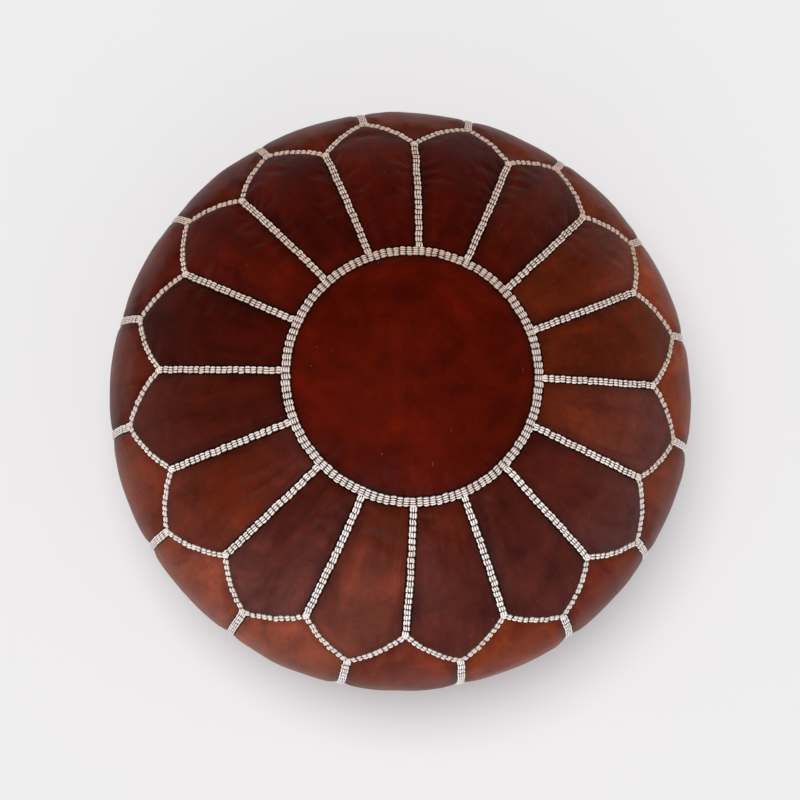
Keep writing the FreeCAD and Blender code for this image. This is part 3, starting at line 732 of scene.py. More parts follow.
@dataclass(frozen=True)
class Pattern:
    """Where the seams run: a ring, petals with blunt tips, and side panels between them."""

    outline: Outline
    base_seam: float
    petals: int = 16
    ring_share: float = 0.406
    valley_share: float = 0.825
    tip_share: float = 0.924
    scallop_share: float = 0.36
    twist: float = -1.2 * DEGREE
    ring_lean: tuple[float, float] = (0.6 * DEGREE, -1.6 * DEGREE)
    rim_lean: tuple[float, float] = (2.0 * DEGREE, -0.8 * DEGREE)
    wander: float = 0.55 * DEGREE
    waver: float = 0.0022
    ring_band: float = 8.8 * MILLIMETRE
    radial_band: float = 6.5 * MILLIMETRE
    tip_band: float = 5.2 * MILLIMETRE
    side_band: float = 7.2 * MILLIMETRE
    seed: int = 11

    @property
    def step(self) -> float:
        """The angle that one petal takes."""
        return 2.0 * math.pi / self.petals

    @cached_property
    def ring_run(self) -> float:
        """The run of the ring seam."""
        return float(self.outline.run_on_top(self.ring_share * self.outline.radius))

    @cached_property
    def tip_run(self) -> float:
        """The run of the petals' tips."""
        return float(self.outline.run_on_top(self.tip_share * self.outline.radius))

    @cached_property
    def base_run(self) -> float:
        """The run of the seam with the base."""
        return self.outline.run_below(self.base_seam)

    def scallop_run(self, turn: np.ndarray) -> np.ndarray:
        """The run of the scalloped seam.

        Args:
            turn: Pattern angles; the valleys are at the multiples of a petal's angle.

        Returns:
            The run at each angle.
        """
        size = self.outline.radius
        folded = np.abs((turn + self.step / 2.0) % self.step - self.step / 2.0)
        valley = np.array([self.valley_share * size, 0.0])
        half = self.step / 2.0
        tip = self.tip_share * size * np.array([math.cos(half), math.sin(half)])
        bow = self.scallop_share * size
        chord = tip - valley
        length = float(np.hypot(*chord))
        out = np.array([chord[1], -chord[0]]) / length
        middle = (valley + tip) / 2.0
        centre = middle - out * math.sqrt(bow**2 - (length / 2.0) ** 2)
        along = np.cos(folded) * centre[0] + np.sin(folded) * centre[1]
        radius = along + np.sqrt(along**2 - float(centre @ centre) + bow**2)
        return self.outline.run_on_top(radius)

    @cached_property
    def strays(self) -> np.ndarray:
        """How far each valley and tip strays from its regular place.

        Returns:
            One row of angles and one row of runs.
        """
        chance = np.random.default_rng(self.seed)
        angle = chance.uniform(-self.wander, self.wander, self.petals * 2)
        run = chance.uniform(-self.waver, self.waver, self.petals * 2)
        return np.stack([angle, run])

    def drifted(self, turn: np.ndarray, run: np.ndarray) -> tuple[np.ndarray, np.ndarray]:
        """Moves places of the regular pattern to where the hand has sewn them.

        Args:
            turn: Pattern angles.
            run: Runs from the middle of the top.

        Returns:
            The angles and runs on the made cover.
        """
        valley = float(self.outline.run_on_top(self.valley_share * self.outline.radius))
        share = np.clip((run - self.ring_run) / (valley - self.ring_run), 0.0, 1.0)
        knots = (np.arange(self.petals * 2 + 1)) * self.step / 2.0
        round_turn = turn % (2.0 * math.pi)
        stray, slip = (np.interp(round_turn, knots, np.append(row, row[0])) for row in self.strays)
        ring = self.ring_lean[0] * np.cos(turn) + self.ring_lean[1] * np.sin(turn)
        rim = self.rim_lean[0] * np.cos(turn) + self.rim_lean[1] * np.sin(turn)
        moved = turn + self.twist + ring * (1.0 - share) + (rim + stray) * share
        fading = np.clip((self.base_run - run) / (self.base_run - self.tip_run), 0.0, 1.0)
        return moved, run + slip * share * fading

    def place(self, turn: np.ndarray, run: np.ndarray, lift: np.ndarray | float) -> np.ndarray:
        """Points on or off the made cover.

        Args:
            turn: Pattern angles.
            run: Runs from the middle of the top.
            lift: Distances out from the cover.

        Returns:
            Points, with x, y and z on the last axis.
        """
        angle, length = self.drifted(turn, run)
        radius, height, out, up = self.outline.at(length)
        radius = radius + out * lift
        return np.stack([radius * np.cos(angle), radius * np.sin(angle), height + up * lift], axis=-1)

    def outward(self, turn: np.ndarray, run: np.ndarray) -> np.ndarray:
        """The directions straight out from the made cover.

        Args:
            turn: Pattern angles.
            run: Runs from the middle of the top.

        Returns:
            Directions of length one, with x, y and z on the last axis.
        """
        angle, length = self.drifted(turn, run)
        _, _, out, up = self.outline.at(length)
        return np.stack([out * np.cos(angle), out * np.sin(angle), up], axis=-1)


# ---------------------------------------------------------------- meshes


def finer(points: np.ndarray, times: int) -> np.ndarray:
    """Fills a grid in along smooth curves through its points.

    Args:
        points: A grid of rows by columns by values.
        times: How many steps each old step becomes.

    Returns:
        The finer grid, which keeps every old point.
    """
    for axis in (0, 1):
        rows = np.moveaxis(points, axis, 0)
        ends = np.concatenate([2.0 * rows[:1] - rows[1:2], rows, 2.0 * rows[-1:] - rows[-2:-1]])
        before, first, second, after = ends[:-3], ends[1:-2], ends[2:-1], ends[3:]
        steps = []
        for part in np.arange(times) / times:
            bend = 2.0 * before - 5.0 * first + 4.0 * second - after
            turn = 3.0 * (first - second) + after - before
            steps.append(first + 0.5 * part * (second - before + part * (bend + part * turn)))
        fine = np.stack(steps, axis=1).reshape(-1, *rows.shape[1:])
        points = np.moveaxis(np.concatenate([fine, rows[-1:]]), 0, axis)
    return points


def grid_faces(rows: int, columns: int, first: int = 0, closed: bool = False) -> np.ndarray:
    """The four-sided faces of a grid of vertices.

    Args:
        rows: How many rows of vertices there are.
        columns: How many vertices a row has.
        first: The number of the first vertex.
        closed: Whether the last column joins the first.

    Returns:
        One row of four vertex numbers for each face.
    """
    numbers = first + np.arange(rows * columns).reshape(rows, columns)
    if closed:
        numbers = np.concatenate([numbers, numbers[:, :1]], axis=1)
    corners = [numbers[:-1, :-1], numbers[1:, :-1], numbers[1:, 1:], numbers[:-1, 1:]]
    return np.stack(corners, axis=-1).reshape(-1, 4)


def add_object(name: str, data: bpy.types.ID) -> bpy.types.Object:
    """Makes an object and links it to the scene.

    Args:
        name: The object's name.
        data: Its mesh, light or camera.

    Returns:
        The object.
    """
    made = bpy.data.objects.new(name, data)
    bpy.context.scene.collection.objects.link(made)
    return made


def add_mesh(
    name: str, points: np.ndarray, faces: np.ndarray | list, smooth: bool = True
) -> bpy.types.Object:
    """Makes an object from points and faces.

    Args:
        name: The object's name.
        points: Its vertices, one row each.
        faces: Its faces, as rows of vertex numbers.
        smooth: Whether its faces are shaded smooth.

    Returns:
        The object, in the scene's collection.
    """
    mesh = bpy.data.meshes.new(name)
    corners = [[int(number) for number in face] for face in faces]
    mesh.from_pydata(np.asarray(points).reshape(-1, 3).tolist(), [], corners)
    mesh.polygons.foreach_set("use_smooth", [smooth] * len(mesh.polygons))
    mesh.update()
    return add_object(name, mesh)


def add_values(piece: bpy.types.Object, name: str, values: np.ndarray) -> None:
    """Keeps a number or a colour at each vertex of a piece.

    Args:
        piece: The piece.
        name: The attribute's name.
        values: One number, or one row of three, for each vertex.
    """
    kind, part = ("FLOAT", "value") if values.ndim == 1 else ("FLOAT_COLOR", "color")
    if values.ndim > 1:
        values = np.concatenate([values, np.ones((len(values), 1))], axis=1)
    kept = piece.data.attributes.new(name, kind, "POINT")
    kept.data.foreach_set(part, values.astype(np.float32).ravel())


def add_wall(piece: bpy.types.Object, thickness: float) -> None:
    """Gives a sheet of hide its wall, on the inner side.

    Args:
        piece: The sheet.
        thickness: How thick the wall is.
    """
    wall = piece.modifiers.new("wall", "SOLIDIFY")
    wall.thickness = thickness
    wall.offset = -1.0


def enter(piece: bpy.types.Object, node: str = "") -> None:
    """Enters a finished piece of the pouf in the frame's books.

    Args:
        piece: The piece.
        node: The solid node that it stands for, if it stands for one.
    """
    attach(piece, "pouf")
    if node:
        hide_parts(node)
    log.info("%s: %d faces", piece.name, len(piece.data.polygons))


def rumple(points: np.ndarray, scale: float, seed: int) -> np.ndarray:
    """Soft noise at points.

    Args:
        points: Points, with x, y and z on the last axis.
        scale: Waves per metre.
        seed: Which of the many noises it is.

    Returns:
        A value from about -1 to 1 for each point.
    """
    shift = Vector((seed * 3.1, seed * 1.7, seed * 2.3))
    flat = points.reshape(-1, 3) * scale
    values = [noise.noise(Vector(point) + shift) for point in flat]
    return np.array(values).reshape(points.shape[:-1])


@dataclass
class Hide:
    """One cut hide as a grid over the pattern, with its dye and painted light from its upper end to its
    lower end.
    """

    name: str
    node: str
    slot: str
    turn: np.ndarray
    run: np.ndarray
    seam: np.ndarray
    down: np.ndarray
    dyes_and_light: tuple[DyeAndPaintedLight, ...]
    tint: tuple[float, float, float] = (1.0, 1.0, 1.0)

    def dye_and_light_at(self, down: np.ndarray) -> np.ndarray:
        """The dye's colour on the hide, with its painted light and sheen.

        Args:
            down: Shares of the way down the hide.

        Returns:
            A colour for each share.
        """
        stops = np.linspace(0.0, 1.0, len(self.dyes_and_light))
        shades = np.array([dye.shade for dye in self.dyes_and_light]) * self.tint
        return np.stack([np.interp(down, stops, shade) for shade in shades.T], axis=-1)


@dataclass(frozen=True)
class Fold:
    """A soft crease in a petal between two places, each as shares across and down the petal."""

    petal: int
    start: tuple[float, float]
    end: tuple[float, float]
    depth: float
    width: float
    gain: float = 1.8
    brow: float = 0.55
    brow_gap: float = 2.2

    def dip(self, points: np.ndarray, ends: np.ndarray) -> np.ndarray:
        """How far the crease pushes points in.

        Args:
            points: Points, with x, y and z on the last axis.
            ends: The crease's two ends, one row each.

        Returns:
            A height for each point, below zero in the crease and above it beside it.
        """
        line = ends[1] - ends[0]
        share = np.clip(((points - ends[0]) @ line) / float(line @ line), 0.0, 1.0)
        gap = np.linalg.norm(points - ends[0] - share[..., None] * line, axis=-1)
        north_shade = np.sin(math.pi * np.clip(share, 0.04, 0.96))
        near = gap / (self.width * MILLIMETRE)
        profile = self.brow * np.exp(-((near - self.brow_gap) ** 2)) - np.exp(-(near**2))
        return self.gain * self.depth * MILLIMETRE * north_shade * profile


@dataclass(frozen=True)
class Filling:
    """How the stuffing fills the hides out: a cloth simulation, held along every seam."""

    pressure: float = 20.0
    steps: int = 20
    slack: float = 0.014
    cap: float = 0.008
    stiffness: float = 15.0
    bending: float = 0.5
    mass: float = 0.3
    quality: int = 5

    def swell(self, points: np.ndarray, faces: np.ndarray, held: np.ndarray) -> np.ndarray:
        """Blows a sheet of hides out from the inside.

        Args:
            points: The hides' vertices, one row each.
            faces: Their faces.
            held: The numbers of the vertices that are sewn down.

        Returns:
            The vertices after the simulation, none of them moved further than the cap.
        """
        sheet = add_mesh("hides_in_work", points, faces)
        sewn = sheet.vertex_groups.new(name="sewn")
        sewn.add([int(number) for number in held], 1.0, "REPLACE")
        cloth = sheet.modifiers.new("filling_out", "CLOTH")
        settings = cloth.settings
        settings.quality = self.quality
        settings.mass = self.mass
        settings.use_pressure = True
        settings.uniform_pressure_force = self.pressure
        settings.tension_stiffness = self.stiffness
        settings.compression_stiffness = self.stiffness
        settings.shear_stiffness = self.stiffness / 3.0
        settings.bending_stiffness = self.bending
        settings.vertex_group_mass = "sewn"
        settings.effector_weights.gravity = 0.0
        settings.shrink_min = -self.slack
        settings.shrink_max = -self.slack
        cloth.collision_settings.use_collision = False
        cloth.point_cache.frame_start = 1
        cloth.point_cache.frame_end = self.steps + 1
        for frame in range(1, self.steps + 1):
            bpy.context.scene.frame_set(frame)
        result = sheet.evaluated_get(bpy.context.evaluated_depsgraph_get())
        swollen = np.zeros(len(points) * 3, np.float32)
        result.data.vertices.foreach_get("co", swollen)
        bpy.data.objects.remove(sheet)
        bpy.context.scene.frame_set(1)
        moved = swollen.reshape(-1, 3).astype(float) - points
        length = np.linalg.norm(moved, axis=1, keepdims=True)
        return points + moved * np.minimum(1.0, self.cap / np.maximum(length, 1e-9))


@dataclass
class Cover:
    """The disc, the petals and the side panels, filled out together and sewn edge to edge."""

    pattern: Pattern
    leather: Finish
    filling: Filling = field(default_factory=Filling)
    wall: float = 1.8 * MILLIMETRE
    groove: float = 1.2 * MILLIMETRE
    puff: float = 2.2 * MILLIMETRE
    side_share: float = 0.4
    ease: float = 9.0 * MILLIMETRE
    flat_margin: float = 6.0 * MILLIMETRE
    pucker_zone: float = 7.0 * MILLIMETRE
    cell: float = 5.4 * MILLIMETRE
    refine: int = 2
    columns: int = 16
    slope: float = 0.93
    disc_dyes: tuple[DyeAndPaintedLight, ...] = (DyeAndPaintedLight.GARNET, DyeAndPaintedLight.GARNET)
    disc_tint: tuple[float, float, float] = (0.95, 0.72, 0.05)
    # Each petal's lots run from the ring to the tip: the petals towards +Y take darker lots as painted
    # shade, those towards -Y paler lots as painted light, and the paler, bluer outer lots are a painted
    # sheen.
    petal_dyes_and_light: tuple[tuple[DyeAndPaintedLight, ...], ...] = (
        (DyeAndPaintedLight.CHESTNUT, DyeAndPaintedLight.TOBACCO, DyeAndPaintedLight.UMBER),
        (DyeAndPaintedLight.CHESTNUT, DyeAndPaintedLight.CHESTNUT, DyeAndPaintedLight.RUSSET),
        (DyeAndPaintedLight.OXBLOOD, DyeAndPaintedLight.MAHOGANY, DyeAndPaintedLight.MAHOGANY),
        (DyeAndPaintedLight.OXBLOOD, DyeAndPaintedLight.OXBLOOD, DyeAndPaintedLight.OXBLOOD),
        (DyeAndPaintedLight.OXBLOOD, DyeAndPaintedLight.GARNET, DyeAndPaintedLight.MAHOGANY),
        (DyeAndPaintedLight.OXBLOOD, DyeAndPaintedLight.OXBLOOD, DyeAndPaintedLight.OXBLOOD),
        (DyeAndPaintedLight.GARNET, DyeAndPaintedLight.OXBLOOD, DyeAndPaintedLight.OXBLOOD),
        (DyeAndPaintedLight.OXBLOOD, DyeAndPaintedLight.EBONY, DyeAndPaintedLight.EBONY),
        (DyeAndPaintedLight.EBONY, DyeAndPaintedLight.MAHOGANY, DyeAndPaintedLight.ROSEWOOD),
        (DyeAndPaintedLight.ROSEWOOD, DyeAndPaintedLight.TOBACCO, DyeAndPaintedLight.RUSSET),
        (DyeAndPaintedLight.MAHOGANY, DyeAndPaintedLight.ROSEWOOD, DyeAndPaintedLight.PLUM),
        (DyeAndPaintedLight.TOBACCO, DyeAndPaintedLight.RUSSET, DyeAndPaintedLight.CLAY),
        (DyeAndPaintedLight.TOBACCO, DyeAndPaintedLight.ROSEWOOD, DyeAndPaintedLight.ROSEWOOD),
        (DyeAndPaintedLight.MAHOGANY, DyeAndPaintedLight.ROSEWOOD, DyeAndPaintedLight.ROSEWOOD),
        (DyeAndPaintedLight.MAHOGANY, DyeAndPaintedLight.ROSEWOOD, DyeAndPaintedLight.PLUM),
        (DyeAndPaintedLight.CHESTNUT, DyeAndPaintedLight.RUSSET, DyeAndPaintedLight.PLUM),
    )
    # Each side panel's lots run from the scalloped seam down: darker towards +Y as painted shade, and the
    # paler lower lots are painted light that keeps the sides from darkening towards the outline.
    side_dyes_and_light: tuple[tuple[DyeAndPaintedLight, ...], ...] = (
        (DyeAndPaintedLight.COGNAC, DyeAndPaintedLight.COPPER),
        (DyeAndPaintedLight.COGNAC, DyeAndPaintedLight.COGNAC),
        (DyeAndPaintedLight.SADDLE, DyeAndPaintedLight.SADDLE),
        (DyeAndPaintedLight.UMBER, DyeAndPaintedLight.SADDLE),
        (DyeAndPaintedLight.TOBACCO, DyeAndPaintedLight.SADDLE),
        (DyeAndPaintedLight.TOBACCO, DyeAndPaintedLight.TOBACCO),
        (DyeAndPaintedLight.MAHOGANY, DyeAndPaintedLight.TOBACCO),
        (DyeAndPaintedLight.OXBLOOD, DyeAndPaintedLight.RUSSET),
        (DyeAndPaintedLight.MAHOGANY, DyeAndPaintedLight.PLUM),
        (DyeAndPaintedLight.RUSSET, DyeAndPaintedLight.COPPER),
        (DyeAndPaintedLight.COPPER, DyeAndPaintedLight.COPPER),
        (DyeAndPaintedLight.COPPER, DyeAndPaintedLight.COPPER),
        (DyeAndPaintedLight.RUSSET, DyeAndPaintedLight.CLAY),
        (DyeAndPaintedLight.SADDLE, DyeAndPaintedLight.COGNAC),
        (DyeAndPaintedLight.RUSSET, DyeAndPaintedLight.RUSSET),
        (DyeAndPaintedLight.CLAY, DyeAndPaintedLight.CLAY),
    )
    # Painted light on the side panels: the tint adds red and takes out green and blue, and down from the
    # scalloped seam the colour moves to the paler lower lot.
    side_painted_light_tint: tuple[float, float, float] = (1.12, 0.95, 0.74)
    side_light_blend: float = 0.09
    folds: tuple[Fold, ...] = (
        Fold(11, (-0.2, 0.93), (0.35, 0.66), 1.0, 3.2),
        Fold(11, (0.55, 0.9), (0.82, 0.62), 0.8, 2.4),
        Fold(11, (0.1, 0.97), (0.4, 0.84), 0.8, 2.2),
        Fold(10, (-0.6, 0.9), (-0.15, 0.72), 0.9, 2.8),
        Fold(10, (0.3, 0.2), (-0.1, 0.55), 0.6, 3.4),
        Fold(9, (0.5, 0.86), (0.05, 0.7), 0.8, 3.0),
        Fold(12, (-0.5, 0.95), (-0.3, 0.7), 0.8, 2.6),
        Fold(13, (0.1, 0.96), (0.3, 0.75), 0.7, 2.4),
        Fold(15, (0.2, 0.92), (-0.3, 0.6), 0.7, 3.4),
        Fold(16, (0.0, 0.95), (0.45, 0.72), 0.7, 3.2),
        Fold(2, (-0.4, 0.9), (0.1, 0.7), 0.6, 3.0),
        Fold(6, (0.3, 0.94), (-0.1, 0.76), 0.6, 2.8),
    )

    def disc(self) -> Hide:
        """The middle disc, as a square grid drawn out to a circle.

        Returns:
            The cut hide.
        """
        count = int(2.0 * self.pattern.ring_run / self.cell)
        line = np.linspace(-1.0, 1.0, count)
        across, along = np.meshgrid(line, line, indexing="ij")
        east = across * np.sqrt(1.0 - along**2 / 2.0)
        north = along * np.sqrt(1.0 - across**2 / 2.0)
        share = np.minimum(np.hypot(east, north), 1.0)
        run = share * self.pattern.ring_run
        turn = np.arctan2(north, east)
        seam = self.pattern.ring_run - run - self.pattern.ring_band / 2.0
        grids = (turn, run, seam, share)
        return Hide("centre_disc_hide", "centre_disc", "disc_hide", *grids, self.disc_dyes, self.disc_tint)

    def strip(self, middle: float, petal: bool) -> tuple[np.ndarray, ...]:
        """Lays a grid over a petal or a side panel.

        Args:
            middle: Where its middle is, counted in petals against the clock from +X.
            petal: Whether it is a petal, above the scalloped seam, and not a side panel.

        Returns:
            Grids of its turns, runs and shares of the way down, the scalloped seam's run above or
            below each place, and the distance from its side seams.
        """
        pattern = self.pattern
        side = np.linspace(-1.0, 1.0, self.columns + 1)
        turn = (middle + side / 2.0) * pattern.step
        scallop = pattern.scallop_run(turn)[None, :]
        top, end = (pattern.ring_run, scallop) if petal else (scallop, pattern.base_run)
        length = pattern.tip_run - pattern.ring_run if petal else pattern.base_run - pattern.tip_run
        down = np.linspace(0.0, 1.0, int(length / self.cell) + 1)[:, None]
        run = top + (end - top) * down
        edge = (1.0 - np.abs(side))[None, :] * pattern.outline.at(run)[0] * pattern.step / 2.0
        turn = np.broadcast_to(turn[None, :], run.shape)
        return turn, run, np.broadcast_to(down, run.shape), scallop, edge

    def petal(self, number: int) -> Hide:
        """One petal, from the ring to its scalloped tip.

        Args:
            number: Which petal, from 1, counted against the clock from +X.

        Returns:
            The cut hide.
        """
        pattern = self.pattern
        turn, run, down, tip, edge = self.strip(number - 0.5, True)
        upper = run - pattern.ring_run - pattern.ring_band / 2.0
        lower = (tip - run) * self.slope - pattern.tip_band / 2.0
        seam = np.minimum(np.minimum(edge - pattern.radial_band / 2.0, upper), lower)
        name = f"petal_{number:02d}"
        dyes_and_light = self.petal_dyes_and_light[number - 1]
        return Hide(f"{name}_hide", name, "petal_hide", turn, run, seam, down, dyes_and_light)

    def side_panel(self, number: int) -> Hide:
        """One side panel, from the scalloped seam to the base.

        Args:
            number: Which panel, from 1, counted against the clock from +X.

        Returns:
            The cut hide.
        """
        pattern = self.pattern
        turn, run, _, top, edge = self.strip(number - 1.0, False)
        upper = (run - top) * self.slope - pattern.tip_band / 2.0
        seam = np.minimum(np.minimum(edge - pattern.side_band / 2.0, upper), pattern.base_run - run)
        # Down the side the colour moves to the paler lower lot, as painted light.
        down = np.clip((run - top) / self.side_light_blend, 0.0, 1.0)
        name = f"side_panel_{number:02d}"
        dyes_and_light = self.side_dyes_and_light[number - 1]
        return Hide(f"{name}_hide", name, "side_hide", turn, run, seam, down, dyes_and_light, self.side_painted_light_tint)

    def lifted(self, hide: Hide, full: bool) -> np.ndarray:
        """Places a hide on the cover.

        Args:
            hide: The cut hide.
            full: Whether it is filled out by rule, and not left for the simulation.

        Returns:
            Its grid of points.
        """
        past = hide.seam + self.pattern.radial_band / 2.0
        crown = 1.0 - np.exp(-np.maximum(past, 0.0) / self.ease)
        share = self.side_share if hide.slot == "side_hide" else 1.0
        rise = self.groove * (1.2 - 0.2 * share)
        rise += self.puff * 1.6 * share if full else 0.3 * self.puff * share
        return self.pattern.place(hide.turn, hide.run, rise * crown - self.groove)

    def build(self) -> None:
        """Cuts all the hides, fills them out and sews them up."""
        count = self.pattern.petals
        hides = [self.disc()]
        hides += [self.petal(number) for number in range(1, count + 1)]
        hides += [self.side_panel(number) for number in range(1, count + 1)]
        grids = [self.lifted(hide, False) for hide in hides]
        grids = self.filled(grids)
        for hide, grid in zip(hides, grids, strict=True):
            self.sew(hide, grid)

    def filled(self, grids: list[np.ndarray]) -> list[np.ndarray]:
        """Runs the filling out on all hides at once.

        Args:
            grids: The hides' grids of points.

        Returns:
            The grids after the simulation.
        """
        faces, held, first = [], [], 0
        for grid in grids:
            rows, columns = grid.shape[:2]
            faces.append(grid_faces(rows, columns, first))
            numbers = first + np.arange(rows * columns).reshape(rows, columns)
            held += [numbers[0], numbers[-1], numbers[:, 0], numbers[:, -1]]
            first += rows * columns
        points = np.concatenate([grid.reshape(-1, 3) for grid in grids])
        swollen = self.filling.swell(points, np.concatenate(faces), np.unique(np.concatenate(held)))
        furthest = np.linalg.norm(swollen - points, axis=1).max() / MILLIMETRE
        log.info("hides filled out: %d points, moved up to %.1f mm", len(points), furthest)
        cuts = np.cumsum([grid.shape[0] * grid.shape[1] for grid in grids])[:-1]
        parts = np.split(swollen, cuts)
        return [part.reshape(grid.shape) for part, grid in zip(parts, grids, strict=True)]

    def fold_ends(self, fold: Fold) -> np.ndarray:
        """Where a crease begins and ends on the filled cover.

        Args:
            fold: The crease.

        Returns:
            Its two ends, one row each.
        """
        pattern = self.pattern
        spots = []
        for across, down in (fold.start, fold.end):
            turn = np.array([(fold.petal - 0.5 + across / 2.0) * pattern.step])
            run = pattern.ring_run + (pattern.scallop_run(turn) - pattern.ring_run) * down
            spots.append(pattern.place(turn, run, 4.0 * MILLIMETRE)[0])
        return np.array(spots)

    def sew(self, hide: Hide, grid: np.ndarray) -> None:
        """Makes one finished hide with its wall, creases, and its dye with painted light and sheen.

        Args:
            hide: The cut hide.
            grid: Its points on the filled cover.
        """
        loose = np.stack([hide.seam, hide.down, hide.turn, hide.run], axis=-1)
        if hide.node == "centre_disc":
            loose[..., 2] = 0.0
        whole = finer(np.concatenate([grid, loose], axis=-1), self.refine)
        points, seam, down = whole[..., :3], whole[..., 3], np.clip(whole[..., 4], 0.0, 1.0)
        rows, columns = seam.shape
        spans = np.gradient(points, axis=0), np.gradient(points, axis=1)
        out = np.cross(*spans)
        out /= np.maximum(np.linalg.norm(out, axis=-1, keepdims=True), 1e-12)
        free = 1.0 - np.exp(-((np.maximum(seam, 0.0) / self.flat_margin) ** 2))
        near = np.exp(-(((seam - self.pucker_zone) / self.pucker_zone) ** 2))
        soft = rumple(points, 16.0, 3) * 1.1 + rumple(points, 42.0, 5) * 0.55
        pucker = rumple(points, 95.0, 8) * near * 0.55
        points = points + out * ((soft + pucker) * free * MILLIMETRE)[..., None]
        for fold in self.folds:
            if hide.node == f"petal_{fold.petal:02d}":
                points = points + out * (fold.dip(points, self.fold_ends(fold)) * free)[..., None]
        piece = add_mesh(hide.name, points, grid_faces(rows, columns))
        add_values(piece, "seam", seam.ravel())
        # The dye attribute holds the hide's dye with painted light and sheen.
        add_values(piece, "dye", hide.dye_and_light_at(down).reshape(-1, 3))
        piece.data.materials.append(self.leather.material)
        add_wall(piece, self.wall)
        enter(piece, hide.node)


# ---------------------------------------------------------------- stitched bands

# Points along a line on the cover, and the outward direction at each.
Line = tuple[np.ndarray, np.ndarray]


@dataclass(frozen=True)
class StitchSizes:
    """The sizes of one kind of stitched band."""

    pitch: float
    threads: int
    spacing: float
    length: float
    width: float
    height: float
    stray: float
    bow: float
    seed: int


